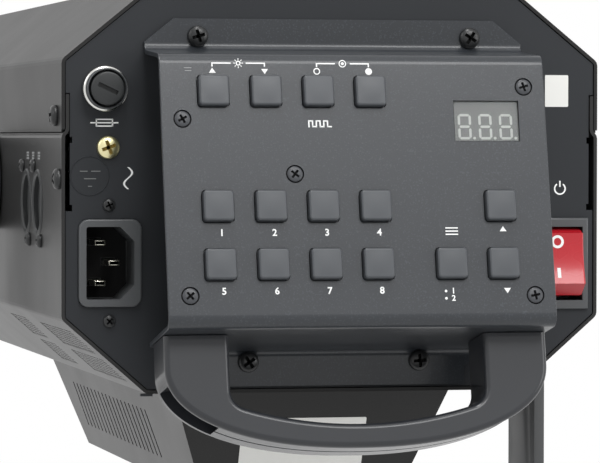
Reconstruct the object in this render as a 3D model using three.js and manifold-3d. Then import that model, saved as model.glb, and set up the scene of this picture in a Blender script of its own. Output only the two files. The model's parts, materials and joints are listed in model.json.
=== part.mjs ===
// A followspot on a yoke: an octagonal sheet-metal housing with a tilted key panel on its rear plate,
// a power-supply keel below it, a focusing lens barrel in front, and clamp knobs at its tilt pivots.
// Lengths are in millimetres. +X is to the right seen from behind, +Y is the way the beam goes, +Z is up.
// The origin is the centre of the yoke's underside, where the stand's bolt goes through it.
import * as THREE from "three";
import { mergeVertices } from "three/addons/utils/BufferGeometryUtils.js";
import Module from "manifold-3d";

const wasm = await Module();
wasm.setup();

// Clearances and allowances
const seatGap = 0.3;
const slideGap = 0.4;
const overrun = 2;
const weldTolerance = 1e-4;

// Rounds: how many facets an arc gets
const bendSteps = 2;
const cornerSteps = 3;
const crownSteps = 4;
const boreSides = 12;
const roundSides = 24;
const smallSides = 8;
const pinSides = 6;
const tubeSides = 32;
const bowSteps = 32;
const arcSteps = 8;

// Housing: an octagonal tube of folded sheet, open at both ends
const housing = {
  halfWidth: 95.8,
  top: 71.5,
  bottom: -71.6,
  sideTop: 43.9,
  sideBottom: -45.7,
  topWidthShare: 0.647,
  bottomWidthShare: 0.692,
  length: 430,
  sheet: 1.2,
  bend: 1.5,
  seam: 19.8,
  joggle: 1.8,
  lap: 12.1,
  rearLip: 0.5,
};

// Yoke and pivot
const pivot = { height: 206, back: 163, boreRadius: 5.4, shankRadius: 5.1 };
const yoke = {
  strap: 4,
  width: 38,
  sideGap: 18.2,
  bend: 9,
  boltRadius: 6.5,
  slotLength: 22,
  slotRadius: 4.2,
  slotSpacing: 110,
};
const boss = { radius: 18, stubRadius: 11, stubLength: 7 };
const washer = { radius: 20, thickness: 2.1 };
const knob = {
  hubRadius: 11,
  hubLength: 5.5,
  lobeRadius: 22.5,
  lobeDepth: 3.2,
  lobes: 6,
  thickness: 12,
  edge: 2.2,
  shankPast: 3,
  hubIn: 2,
  pointsPerLobe: 4,
};

// End plates, pressed as shallow pans
const pan = { sheet: 1.5, flange: 14 };
const sideRelief = { bottom: -8.4, notch: 0.8, notchHeight: 2.2, notchTop: 17.3 };
const frontCollar = { wall: 2.8, length: 16 };

// Keel: the box of the power supply below the housing
const keel = {
  topWidthShare: 0.769,
  wallLean: 0.364,
  endLean: 0.5,
  depth: 40.9,
  sheet: 1.2,
  slots: 20,
  slotWidth: 2.2,
  slotTop: 13.6,
  slotBottom: 31.8,
  cableOpening: 56,
  flange: 9,
  rim: 6,
};
const keelAlongShares = { back: 0.0733, front: 0.7616, slotFrom: 0.2674, slotTo: 0.6628 };

// Vent windows in the lower slopes, with a fine screen behind them
const vents = { screen: 0.8, border: 4 };
const ventAlongShares = [
  [0.034, 0.198],
  [0.284, 0.374],
];
const ventDownShares = [
  [0.18, 0.49],
  [0.57, 0.87],
];

// Control panel: one folded sheet that leans back from the rear plate
const panel = {
  sheet: 1.5,
  bend: 1.2,
  fromSide: 28.6,
  length: 94.15,
  lean: THREE.MathUtils.degToRad(12.57),
  topOut: 29.4,
  topHeight: 45.4,
  shelfDrop: 1.9,
  flangeTop: 58.2,
  flangeTopInset: 10.2,
  lowerFlange: 12.1,
  lowerFlangeInset: 20.2,
};
const key = {
  size: 10,
  corner: 0.9,
  edge: 0.7,
  proud: 2.6,
  travel: 1,
  flangeWidth: 12.4,
  flange: 1,
  plunger: 3.8,
  plungerIn: 0.8,
  switchWidth: 11.6,
  switchHeight: 3.6,
};
// Columns of keys as shares of the panel's half width, and rows down its face
const columnShares = [-0.7292, -0.4594, -0.1896, 0.0802];
const modeShare = 0.4613;
const rightShare = 0.7321;
const keyRows = { top: 13, colour: 52.8, spacing: 20 };
const board = { inset: 3.7, top: 6, bottom: 90, thickness: 1.6, depth: 9, spacerRadius: 2.9 };
const panelScrewShares = [
  [-0.891, 0.24],
  [-0.326, 0.442],
  [0.891, 0.117],
  [-0.887, 0.885],
  [0.893, 0.89],
];
const display = {
  centreShare: 0.6868,
  down: 23.05,
  width: 23.1,
  height: 14.3,
  recess: 0.6,
  pane: 0.8,
  moduleWidth: 26,
  moduleHeight: 17,
};

// Handle: a moulded bow that stands on the panel's return and leans with the panel
const handle = {
  outerInset: 0.5,
  legWidth: 22.3,
  setback: 13.2,
  depth: 22,
  chamfer: 1.9,
  outerBend: 105,
  outerBottom: 133.3,
  innerBend: 117.7,
  innerBottom: 125,
  innerCorner: 6.5,
  roundness: 2.2,
  recess: 5,
  recessFrom: 2.4,
  recessTo: 18,
  groove: 0.9,
  grooveFrom: 10,
  grooveWidth: 1.4,
};
const recessShares = [0.0625, 0.25];

// Rear plate fittings
const inlet = {
  fromSide: 16.9,
  z: -26.3,
  rimWidth: 22,
  rimHeight: 30.3,
  rimCorner: 3.4,
  rimProud: 1.6,
  cavityWidth: 16.8,
  cavityHeight: 25.1,
  cavityChamfer: 5,
  cavityDepth: 15,
  earWidth: 11,
  earHeight: 49,
  earCorner: 4,
  ear: 3,
  body: 24,
};
const inletPin = {
  width: 4,
  thickness: 2,
  tip: 3.1,
  tail: 6,
  pairSpacing: 14,
  pairOffset: -3.1,
  earthOffset: 1.8,
};
const fuse = {
  fromSide: 15,
  z: 33.8,
  ringRadius: 8,
  ringProud: 2.4,
  ringBevel: 0.9,
  sleeveRadius: 7.1,
  sleeveProud: 6.6,
  bodyRadius: 7,
  bodyLength: 30,
  boreRadius: 5.2,
  recessRadius: 6.4,
  recessDepth: 7.8,
  capRadius: 5.8,
  capProud: 8,
  capLength: 10.7,
  slotLength: 7.4,
  slotWidth: 1.5,
  slotDepth: 1.6,
  slotTurn: THREE.MathUtils.degToRad(25),
  cartridgeRadius: 2.6,
  cartridgeLength: 20,
};
const rocker = {
  fromSide: 16.15,
  z: -27.2,
  bezelWidth: 25.5,
  bezelHeight: 32.2,
  bezelProud: 1.8,
  bezelEdge: 0.7,
  bodyDepth: 22,
  width: 20.4,
  wellHalf: 13,
  halfHeight: 11.8,
  endDrop: 1.5,
  ridgeHalf: 9,
  ridgeProud: 4.2,
  dish: 0.9,
  pivotIn: 6,
  swing: THREE.MathUtils.degToRad(11),
  rootRadius: 9,
  rootDepthShare: 0.7,
};
const xlr = {
  first: 54.3,
  spacing: 27,
  z: -6.4,
  rimRadius: 11.2,
  rimProud: 0.5,
  cavityRadius: 9.2,
  cavityDepth: 14,
  flangeWidth: 25.4,
  flangeHeight: 31,
  flange: 2,
  bodyLength: 20,
  pinRadius: 1.2,
  pinCircle: 5.1,
  contactRadius: 1.6,
  insertRadius: 7.4,
  pinInset: 2.7,
  poles: 3,
};

// Optics, from the lamp to the front lens, and where they stand as shares of the housing's length
const stationShares = {
  chassisBack: 0.1395,
  lamp: 0.3558,
  condenser: 0.4047,
  wheel: 0.514,
  iris: 0.6605,
  chassisFront: 0.6977,
};
const chassis = { sheet: 2, foot: 6, margin: 3, uprightTop: 44 };
const heatSink = {
  size: 80,
  base: 6,
  fin: 50,
  fins: 14,
  finThickness: 1.8,
};
const lamp = {
  boardSize: 48,
  board: 1.6,
  domeRadius: 12,
  dome: 2.4,
  rimShare: 0.33,
  shoulderShare: 0.8,
  shoulderRadiusShare: 0.7,
};
const fan = {
  size: 80,
  depth: 25,
  boreRadius: 38,
  rotorRadius: 36.4,
  hubRadius: 16,
  hubDepth: 17,
  bladeWidth: 19,
  bladeThickness: 1.5,
  blades: 7,
  pitch: THREE.MathUtils.degToRad(38),
  strutWidth: 6,
  strut: 3,
  shaftRadius: 1.6,
};
const condenser = { radius: 27, edge: 5, crown: 9 };
const wheel = {
  centreShare: 0.3967,
  radiusShare: 0.5532,
  thickness: 2,
  apertures: 8,
  apertureRadius: 12,
  filter: 0.7,
  hubRadius: 6,
  hub: 4.4,
};
const motor = {
  size: 42,
  corner: 4,
  length: 34,
  pilotRadius: 11,
  pilot: 1.8,
  shaftRadius: 2.4,
  shaft: 10,
};
const iris = {
  bore: 17.5,
  outer: 40,
  depth: 8,
  sleeve: 20,
  sleeveLength: 5,
  leverOuter: 33,
  lever: 3,
  armWidth: 8,
  gripRadius: 5,
  gripLength: 12,
  gripSocket: 2,
  swing: THREE.MathUtils.degToRad(22),
};
const barrel = {
  radius: 59,
  wall: 2.5,
  inside: 48,
  length: 120,
  rim: 2.2,
  rimLength: 10,
  back: 30,
  forward: 15,
  lensSeat: 84,
  seatLip: 6,
  seatLength: 3,
  studFrom: 10,
};
const frontLens = { edge: 7, crown: 9 };
const focusKnob = {
  studRadius: 3,
  slotRadius: 3.6,
  collarRadius: 9,
  collar: 3,
  radius: 9.5,
  height: 12,
  grip: 1.1,
  grips: 10,
  edge: 1.2,
};
const supply = {
  widthShare: 0.57,
  length: 190,
  board: 1.6,
  standoff: 4,
  standoffRadius: 3,
  canRadiusShare: 0.3,
  canAcrossShare: 0.55,
  canRiseShare: 0.6,
};
// Parts on the supply's board: across its half width, along its length, their sizes, and their height
const supplyPartShares = [
  { across: -0.4, along: 0.14, wide: 0.7, long: 0.13, rise: 0.55 },
  { across: 0, along: 0.52, wide: 1.3, long: 0.22, rise: 0.68 },
  { across: -0.35, along: 0.83, wide: 0.9, long: 0.1, rise: 0.58 },
];
const canAlongShares = [0.3, 0.7];
const driver = { widthShare: 0.82, length: 40, board: 1.6, standoff: 6, standoffRadius: 2.6, chip: 10 };
const chipShares = [-0.6, -0.15, 0.35];

// Widths and places that follow the housing
const topHalf = housing.topWidthShare * housing.halfWidth;
const bottomHalf = housing.bottomWidthShare * housing.halfWidth;
const keelHalf = keel.topWidthShare * bottomHalf;
const panelHalf = housing.halfWidth - panel.fromSide;
const displayX = display.centreShare * panelHalf;
const inletX = inlet.fromSide - housing.halfWidth;
const fuseX = fuse.fromSide - housing.halfWidth;
const rockerX = housing.halfWidth - rocker.fromSide;
const wheelCentre = wheel.centreShare * housing.halfWidth;
const wheelRadius = wheel.radiusShare * housing.halfWidth;
const yokeInner = housing.halfWidth + yoke.sideGap;
const yokeOuter = yokeInner + yoke.strap;
const lampFace = stationShares.lamp * housing.length;
const condenserPlane = stationShares.condenser * housing.length;
const wheelPlane = stationShares.wheel * housing.length;
const motorPlane = wheelPlane + wheel.thickness + wheel.hub + 2 * seatGap;
const irisPlane = stationShares.iris * housing.length;
const leverPlane = irisPlane + chassis.sheet + seatGap + iris.depth + seatGap;
const gripCorner = housing.top + slideGap + iris.gripRadius * Math.sin(iris.swing);
const leverTop = gripCorner / Math.cos(iris.swing) + iris.gripSocket;
const barrelFrom = housing.length - barrel.inside;
const focusStud = barrelFrom + barrel.studFrom;

// Solids

function solid(geometry) {
  const loose = geometry.index ? geometry.toNonIndexed() : geometry.clone();
  loose.deleteAttribute("normal");
  loose.deleteAttribute("uv");
  const merged = mergeVertices(loose, weldTolerance);
  const index = merged.index.array;
  const triVerts = [];
  for (let i = 0; i < index.length; i += 3) {
    const [a, b, c] = [index[i], index[i + 1], index[i + 2]];
    if (a !== b && b !== c && c !== a) triVerts.push(a, b, c);
  }
  const vertProperties = merged.attributes.position.array;
  const made = manifoldOf(vertProperties, triVerts);
  if (made.volume() > 0) return made;
  for (let i = 0; i < triVerts.length; i += 3) {
    [triVerts[i + 1], triVerts[i + 2]] = [triVerts[i + 2], triVerts[i + 1]];
  }
  return manifoldOf(vertProperties, triVerts);
}

function manifoldOf(vertProperties, triVerts) {
  const mesh = new wasm.Mesh({
    numProp: 3,
    vertProperties,
    triVerts: new Uint32Array(triVerts),
  });
  return new wasm.Manifold(mesh);
}

function join(first, ...rest) {
  return rest.reduce((made, next) => made.add(next), first);
}

function cut(first, ...rest) {
  return rest.reduce((made, next) => made.subtract(next), first);
}

// Axis frames: an outline is drawn in two axes and pulled along the third
const frames = {
  x: new THREE.Matrix4().makeBasis(
    new THREE.Vector3(0, 1, 0),
    new THREE.Vector3(0, 0, 1),
    new THREE.Vector3(1, 0, 0),
  ),
  y: new THREE.Matrix4().makeBasis(
    new THREE.Vector3(0, 0, 1),
    new THREE.Vector3(1, 0, 0),
    new THREE.Vector3(0, 1, 0),
  ),
  z: new THREE.Matrix4(),
};

// The outline's numbers run along Y and Z for axis x, along Z and X for axis y, along X and Y for axis z
function pulled(outline, axis, from, to, bevel = 0) {
  const points = outline.map((p) => new THREE.Vector2(p[0], p[1]));
  const geometry = new THREE.ExtrudeGeometry(new THREE.Shape(points), {
    depth: to - from - 2 * bevel,
    bevelEnabled: bevel > 0,
    bevelThickness: bevel,
    bevelSize: bevel,
    bevelOffset: -bevel,
    bevelSegments: 1,
    steps: 1,
  });
  geometry.translate(0, 0, from + bevel);
  return solid(geometry.applyMatrix4(frames[axis]));
}

// An outline drawn as (x, z) and pulled along Y
function alongY(outline, from, to, bevel = 0) {
  return pulled(
    outline.map(([x, z]) => [z, x]),
    "y",
    from,
    to,
    bevel,
  );
}

// A turned solid: its profile is (radius, place along the axis)
function turned(profile, axis, sides, at = [0, 0, 0]) {
  const points = profile.map((p) => new THREE.Vector2(p[0], p[1]));
  const geometry = new THREE.LatheGeometry(points, sides);
  geometry.rotateX(Math.PI / 2);
  geometry.applyMatrix4(frames[axis]);
  return solid(geometry.translate(...at));
}

function rod(radius, axis, from, to, at = [0, 0, 0], sides = boreSides) {
  return turned([[0, from], [radius, from], [radius, to], [0, to]], axis, sides, at);
}

function tube(inner, outer, axis, from, to, at = [0, 0, 0], sides = tubeSides) {
  const profile = [[inner, from], [outer, from], [outer, to], [inner, to], [inner, from]];
  return turned(profile, axis, sides, at);
}

function block(low, high) {
  const size = high.map((value, i) => value - low[i]);
  const middle = high.map((value, i) => (value + low[i]) / 2);
  return solid(new THREE.BoxGeometry(...size).translate(...middle));
}

// A closed outline whose corners [a, b, radius] are rounded
function filleted(corners, steps = cornerSteps) {
  const points = [];
  corners.forEach(([a, b, radius = 0], i) => {
    const here = new THREE.Vector2(a, b);
    if (radius === 0) {
      points.push([a, b]);
      return;
    }
    const count = corners.length;
    const before = new THREE.Vector2(...corners[(i + count - 1) % count]).sub(here).normalize();
    const after = new THREE.Vector2(...corners[(i + 1) % count]).sub(here).normalize();
    const half = Math.acos(THREE.MathUtils.clamp(before.dot(after), -1, 1)) / 2;
    const middle = before.clone().add(after).normalize();
    const centre = middle.multiplyScalar(radius / Math.sin(half)).add(here);
    const start = before.multiplyScalar(radius / Math.tan(half)).add(here).sub(centre);
    const end = after.multiplyScalar(radius / Math.tan(half)).add(here).sub(centre);
    const sweep = Math.atan2(start.cross(end), start.dot(end));
    for (let k = 0; k <= steps; k++) {
      const turn = start.angle() + (sweep * k) / steps;
      points.push([centre.x + radius * Math.cos(turn), centre.y + radius * Math.sin(turn)]);
    }
  });
  return points;
}

// The outline of a folded sheet: line is its outer face, and the sheet lies to the left of it
function folded(line, thickness, bend) {
  const points = line.map(([a, b]) => new THREE.Vector2(a, b));
  const ways = points.slice(1).map((p, i) => p.clone().sub(points[i]).normalize());
  const normals = ways.map((way) => new THREE.Vector2(-way.y, way.x));
  const outer = [];
  const inner = [];
  points.forEach((p, i) => {
    const first = normals[Math.max(i - 1, 0)];
    const second = normals[Math.min(i, normals.length - 1)];
    const both = first.clone().add(second);
    const shift = both.multiplyScalar((2 * thickness) / both.lengthSq()).add(p);
    const isEnd = i === 0 || i === points.length - 1;
    const turnsLeft = !isEnd && ways[i - 1].cross(ways[i]) > 0;
    const large = isEnd ? 0 : bend + thickness;
    const small = isEnd ? 0 : bend;
    outer.push([p.x, p.y, turnsLeft ? large : small]);
    inner.push([shift.x, shift.y, turnsLeft ? small : large]);
  });
  return filleted([...outer, ...inner.reverse()], bendSteps);
}

// A convex outline moved inwards on every side
function inset(outline, distance) {
  const count = outline.length;
  const points = outline.map(([a, b]) => new THREE.Vector2(a, b));
  const ways = points.map((p, i) => points[(i + 1) % count].clone().sub(p).normalize());
  return points.map((p, i) => {
    const first = ways[(i + count - 1) % count];
    const second = ways[i];
    const both = new THREE.Vector2(-first.y - second.y, first.x + second.x);
    const moved = both.multiplyScalar((2 * distance) / both.lengthSq()).add(p);
    return [moved.x, moved.y];
  });
}

function rectangle(width, height, corner = 0, a = 0, b = 0, steps = cornerSteps) {
  const [w, h] = [width / 2, height / 2];
  const corners = [
    [a - w, b - h, corner],
    [a + w, b - h, corner],
    [a + w, b + h, corner],
    [a - w, b + h, corner],
  ];
  return filleted(corners, steps);
}

// A closed skin over rings of equally many points, with flat ends
function lofted(rings) {
  const count = rings[0].length;
  const last = rings.length - 1;
  const positions = [];
  const triangle = (a, b, c) => positions.push(...a, ...b, ...c);
  for (let i = 0; i < last; i++) {
    for (let j = 0; j < count; j++) {
      const k = (j + 1) % count;
      triangle(rings[i][j], rings[i][k], rings[i + 1][j]);
      triangle(rings[i][k], rings[i + 1][k], rings[i + 1][j]);
    }
  }
  for (let j = 1; j < count - 1; j++) {
    triangle(rings[0][0], rings[0][j + 1], rings[0][j]);
    triangle(rings[last][0], rings[last][j], rings[last][j + 1]);
  }
  const geometry = new THREE.BufferGeometry();
  geometry.setAttribute("position", new THREE.Float32BufferAttribute(positions, 3));
  return solid(geometry);
}

// Finishes
const finishes = {
  housingPaint: { color: 0x2d2e2f, roughness: 0.62, metalness: 0.3 },
  platePaint: { color: 0x323435, roughness: 0.6, metalness: 0.3 },
  panelPaint: { color: 0x4b4e52, roughness: 0.55, metalness: 0.25 },
  handlePlastic: { color: 0x55575c, roughness: 0.5, metalness: 0 },
  blackPlastic: { color: 0x3a3b3d, roughness: 0.5, metalness: 0 },
  keyPlastic: { color: 0x55585c, roughness: 0.45, metalness: 0 },
  switchRed: { color: 0xc01c28, roughness: 0.35, metalness: 0 },
  bareMetal: { color: 0xb9bbbd, roughness: 0.35, metalness: 1 },
  nickel: { color: 0xd8d9d6, roughness: 0.2, metalness: 1 },
  circuit: { color: 0x1f5a35, roughness: 0.6, metalness: 0 },
  glass: { color: 0xdfe8ea, roughness: 0.05, metalness: 0 },
  displayFace: { color: 0x5f6261, roughness: 0.4, metalness: 0 },
  lampYellow: { color: 0xe6cf4a, roughness: 0.4, metalness: 0 },
  friction: { color: 0x242424, roughness: 0.9, metalness: 0 },
};

function geometryOf(made) {
  const { numProp, vertProperties, triVerts } = made.getMesh();
  const positions = new Float32Array((vertProperties.length / numProp) * 3);
  for (let i = 0; i * numProp < vertProperties.length; i++) {
    positions.set(vertProperties.subarray(i * numProp, i * numProp + 3), i * 3);
  }
  const geometry = new THREE.BufferGeometry();
  geometry.setAttribute("position", new THREE.BufferAttribute(positions, 3));
  geometry.setIndex(new THREE.BufferAttribute(triVerts, 1));
  return geometry;
}

// A solid placed as a group is
function moved(made, group) {
  group.updateMatrix();
  return solid(geometryOf(made).applyMatrix4(group.matrix));
}

function named(name, made, finish) {
  const geometry = geometryOf(made);
  geometry.computeVertexNormals();
  const mesh = new THREE.Mesh(geometry, new THREE.MeshStandardMaterial(finishes[finish]));
  mesh.name = name;
  return mesh;
}

// Housing

const housingOutline = [
  [bottomHalf, housing.bottom],
  [housing.halfWidth, housing.sideBottom],
  [housing.halfWidth, housing.sideTop],
  [topHalf, housing.top],
  [-topHalf, housing.top],
  [-housing.halfWidth, housing.sideTop],
  [-housing.halfWidth, housing.sideBottom],
  [-bottomHalf, housing.bottom],
];
const housingFrom = -housing.rearLip;
const lapFace = housing.halfWidth - housing.sheet - seatGap;
const trayFloor = housing.bottom + housing.sheet;
const coverUnder = housing.top - housing.sheet;

function upperCover() {
  const { halfWidth, sideTop, top, seam, sheet, bend } = housing;
  const line = [
    [halfWidth, seam],
    [halfWidth, sideTop],
    [topHalf, top],
    [-topHalf, top],
    [-halfWidth, sideTop],
    [-halfWidth, seam],
  ];
  const shell = alongY(folded(line, sheet, bend), housingFrom, housing.length);
  const leverReach = Math.tan(iris.swing) * top + iris.armWidth / 2 / Math.cos(iris.swing);
  const leverSlot = block(
    [-leverReach - slideGap, leverPlane - slideGap, coverUnder - overrun],
    [leverReach + slideGap, leverPlane + iris.lever + slideGap, top + overrun],
  );
  const slotRear = focusStud - barrel.back;
  const slotFront = focusStud + barrel.forward;
  const focusSlot = join(
    block(
      [-focusKnob.slotRadius, slotRear, coverUnder - overrun],
      [focusKnob.slotRadius, slotFront, top + overrun],
    ),
    rod(focusKnob.slotRadius, "z", coverUnder - overrun, top + overrun, [0, slotRear, 0], smallSides),
    rod(focusKnob.slotRadius, "z", coverUnder - overrun, top + overrun, [0, slotFront, 0], smallSides),
  );
  return named("upper_cover", cut(shell, leverSlot, focusSlot), "housingPaint");
}

// The two lower slopes: where each starts, which way it runs down, and which way it faces
function slope(side) {
  const from = new THREE.Vector2(side * housing.halfWidth, housing.sideBottom);
  const to = new THREE.Vector2(side * bottomHalf, housing.bottom);
  const length = from.distanceTo(to);
  const way = to.clone().sub(from).normalize();
  const inward = new THREE.Vector2(-side * Math.abs(way.y), Math.abs(way.x));
  return { from, length, way, inward };
}

// A slab on a slope, between two shares of its width, from one depth under its face to another
function onSlope(side, shares, depths, from, to, border = 0) {
  const { from: start, length, way, inward } = slope(side);
  const corner = (along, depth) => {
    const point = start.clone().addScaledVector(way, along).addScaledVector(inward, depth);
    return [point.x, point.y];
  };
  const [high, low] = [shares[0] * length - border, shares[1] * length + border];
  const outline = [
    corner(high, depths[0]),
    corner(low, depths[0]),
    corner(low, depths[1]),
    corner(high, depths[1]),
  ];
  return alongY(outline, from - border, to + border);
}

function lowerTray() {
  const { halfWidth, sideBottom, bottom, length } = housing;
  const { seam, joggle, lap, sheet, bend } = housing;
  const half = [
    [lapFace, seam + lap],
    [lapFace, seam - seatGap],
    [halfWidth, seam - joggle],
    [halfWidth, sideBottom],
    [bottomHalf, bottom],
  ];
  const line = [...half.map(([x, z]) => [-x, z]), ...half.reverse()];
  let tray = alongY(folded(line, sheet, bend), housingFrom, housing.length);
  for (const side of [-1, 1]) {
    for (const [rear, front] of ventAlongShares) {
      for (const shares of ventDownShares) {
        const depths = [-overrun, sheet + overrun];
        tray = cut(tray, onSlope(side, shares, depths, rear * length, front * length));
      }
    }
    const wall = side * halfWidth;
    const through = [Math.min(wall, 0) - overrun, Math.max(wall, 0) + overrun];
    const at = [0, pivot.back, 0];
    tray = cut(tray, rod(boss.stubRadius + seatGap, "x", ...through, at, roundSides));
  }
  for (const along of [xlr.first, xlr.first + xlr.spacing]) {
    const at = [0, along, xlr.z];
    tray = cut(tray, rod(xlr.rimRadius + seatGap, "x", -halfWidth - overrun, 0, at, roundSides));
  }
  const gapHalf = keel.cableOpening / 2;
  const opening = block(
    [-gapHalf, keelAlong.slotFrom, bottom - overrun],
    [gapHalf, keelAlong.slotFrom + keel.cableOpening, bottom + sheet + overrun],
  );
  return named("lower_tray", cut(tray, opening), "housingPaint");
}

function ventScreen(side, name) {
  const shares = [ventDownShares[0][0], ventDownShares[ventDownShares.length - 1][1]];
  const near = housing.sheet + seatGap;
  const depths = [near, near + vents.screen];
  const start = pan.flange + seatGap + vents.border;
  const end = ventAlongShares[ventAlongShares.length - 1][1] * housing.length;
  const screen = onSlope(side, shares, depths, start, end, vents.border);
  return named(name, screen, "housingPaint");
}

// A shallow pan that closes one end of the housing, its flange turned inwards
function endPan(face, way) {
  const rim = inset(housingOutline, housing.sheet + seatGap);
  const [a, b] = [face, face + way * pan.flange];
  const shell = alongY(rim, Math.min(a, b), Math.max(a, b));
  const [c, d] = [face + way * pan.sheet, b + way * overrun];
  const hollow = alongY(inset(rim, pan.sheet), Math.min(c, d), Math.max(c, d));
  const inside = lapFace - housing.sheet - seatGap;
  const notched = inside - sideRelief.notch;
  const { bottom, notchHeight, notchTop } = sideRelief;
  const reliefs = [
    [inside, bottom, housing.seam + housing.lap + slideGap],
    [notched, bottom, bottom + notchHeight],
    [notched, notchTop - notchHeight, notchTop],
  ];
  const cutters = [-1, 1].flatMap((side) =>
    reliefs.map(([edge, low, high]) => {
      const reach = [side * edge, side * (housing.halfWidth + overrun)];
      return block(
        [Math.min(...reach), Math.min(a, b) - overrun, low],
        [Math.max(...reach), Math.max(a, b) + overrun, high],
      );
    }),
  );
  return cut(shell, hollow, ...cutters);
}

function rearPlate() {
  const deep = [-overrun, pan.sheet + overrun];
  const inletHole = alongY(
    rectangle(
      inlet.rimWidth + seatGap,
      inlet.rimHeight + seatGap,
      inlet.rimCorner,
      inletX,
      inlet.z,
    ),
    ...deep,
  );
  const fuseHole = rod(fuse.bodyRadius + seatGap, "y", ...deep, [fuseX, 0, fuse.z], roundSides);
  const rockerHole = alongY(rectangle(rockerBody.width, rockerBody.height, 0, rockerX, rocker.z), ...deep);
  const plate = cut(endPan(0, 1), inletHole, fuseHole, rockerHole);
  return named("rear_plate", plate, "platePaint");
}

function frontPlate() {
  const face = housing.length - housing.rearLip;
  const bore = barrel.radius + seatGap;
  const collarBack = face - frontCollar.length;
  const collar = tube(bore, bore + frontCollar.wall, "y", collarBack, face);
  const opening = rod(bore, "y", collarBack - overrun, face + overrun, [0, 0, 0], tubeSides);
  return named("front_plate", join(cut(endPan(face, -1), opening), collar), "housingPaint");
}

// Keel

const keelAlong = {
  back: keelAlongShares.back * housing.length,
  front: keelAlongShares.front * housing.length,
  slotFrom: keelAlongShares.slotFrom * housing.length,
  slotTo: keelAlongShares.slotTo * housing.length,
};

function keelOutline(inward) {
  const top = housing.bottom - seatGap - inward;
  const bottom = housing.bottom - keel.depth + inward;
  const half = (z) => keelHalf - keel.wallLean * (housing.bottom - z);
  const side = inward * Math.hypot(1, keel.wallLean);
  return [
    [half(top) - side, top],
    [-half(top) + side, top],
    [-half(bottom) + side, bottom],
    [half(bottom) - side, bottom],
  ];
}

// The side view: both ends lean in as they go down
function keelLength(inward) {
  const top = housing.bottom - seatGap - inward;
  const bottom = housing.bottom - keel.depth + inward;
  const run = (z) => keel.endLean * (housing.bottom - z) + inward * Math.hypot(1, keel.endLean);
  return [
    [keelAlong.back + run(bottom), bottom],
    [keelAlong.front - run(bottom), bottom],
    [keelAlong.front - run(top), top],
    [keelAlong.back + run(top), top],
  ];
}

function keelBox() {
  const wide = keelHalf + keel.rim;
  const whole = (inward) =>
    alongY(keelOutline(inward), 0, housing.length).intersect(
      pulled(keelLength(inward), "x", -wide, wide),
    );
  const lip = keel.sheet + keel.flange;
  const top = housing.bottom - seatGap;
  const rim = block([-wide, keelAlong.back, top - keel.sheet], [wide, keelAlong.front, top]);
  const mouth = block(
    [-keelHalf + lip, keelAlong.back + lip, top - keel.sheet - overrun],
    [keelHalf - lip, keelAlong.front - lip, top + overrun],
  );
  let box = cut(join(whole(0), rim), whole(keel.sheet), mouth);
  const slotTop = housing.bottom - keel.slotTop;
  const slotBottom = housing.bottom - keel.slotBottom;
  const spacing = (keelAlong.slotTo - keelAlong.slotFrom) / (keel.slots - 1);
  for (let i = 0; i < keel.slots; i++) {
    const from = keelAlong.slotFrom + i * spacing;
    box = cut(box, block([-wide, from, slotBottom], [wide, from + keel.slotWidth, slotTop]));
  }
  return named("keel_box", box, "housingPaint");
}

// A board on four standoffs
function standingBoard(halfWidth, from, to, floor, { standoff, standoffRadius, board: thickness }) {
  const over = floor + standoff + thickness;
  const posts = [];
  for (const x of [standoffRadius - halfWidth, halfWidth - standoffRadius]) {
    for (const y of [from + standoffRadius, to - standoffRadius]) {
      posts.push(rod(standoffRadius, "z", floor, over, [x, y, 0], smallSides));
    }
  }
  return join(block([-halfWidth, from, floor + standoff], [halfWidth, to, over]), ...posts);
}

function powerSupply() {
  const floor = housing.bottom - keel.depth + keel.sheet + seatGap;
  const under = floor + supply.standoff;
  const over = under + supply.board;
  const half = supply.widthShare * keelHalf;
  const from = keelAlong.back + keel.endLean * keel.depth + keel.sheet + supply.standoffRadius;
  const tall = keel.depth - keel.sheet - supply.standoff - supply.board;
  const parts = supplyPartShares.map(({ across, along, wide, long, rise }) => {
    const [x, y] = [across * half, from + along * supply.length];
    const [dx, dy] = [(wide * half) / 2, (long * supply.length) / 2];
    return block([x - dx, y - dy, under], [x + dx, y + dy, over + rise * tall]);
  });
  for (const share of canAlongShares) {
    const at = [supply.canAcrossShare * half, from + share * supply.length, 0];
    const top = over + supply.canRiseShare * tall;
    parts.push(rod(supply.canRadiusShare * half, "z", under, top, at, smallSides));
  }
  const plate = standingBoard(half, from, from + supply.length, floor, supply);
  return named("power_supply", join(plate, ...parts), "circuit");
}

// Yoke, pivots and clamp knobs

function yokeStrap() {
  const radius = yoke.width / 2;
  const line = [
    [-yokeOuter, pivot.height + radius],
    [-yokeOuter, 0],
    [yokeOuter, 0],
    [yokeOuter, pivot.height + radius],
  ];
  const strap = alongY(folded(line, yoke.strap, yoke.bend), -radius, radius);
  const reach = yokeOuter + overrun;
  const arch = [];
  for (let k = 0; k <= tubeSides / 2; k++) {
    const turn = (2 * Math.PI * k) / tubeSides;
    arch.push([radius * Math.cos(turn), pivot.height + radius * Math.sin(turn)]);
  }
  const sideView = pulled([[-radius, -overrun], [radius, -overrun], ...arch], "x", -reach, reach);
  const deep = [-overrun, yoke.strap + overrun];
  const holes = [
    rod(yoke.boltRadius, "z", ...deep),
    rod(pivot.boreRadius, "x", -reach, reach, [0, 0, pivot.height]),
  ];
  for (const side of [-1, 1]) {
    const near = side * (yoke.slotSpacing - yoke.slotLength);
    const far = side * (yoke.slotSpacing + yoke.slotLength);
    const [a, b] = [Math.min(near, far) / 2, Math.max(near, far) / 2];
    const slot = rectangle(b - a, 2 * yoke.slotRadius, yoke.slotRadius, (a + b) / 2, 0);
    holes.push(pulled(slot, "z", ...deep));
  }
  return named("yoke", cut(strap.intersect(sideView), ...holes), "housingPaint");
}

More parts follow.
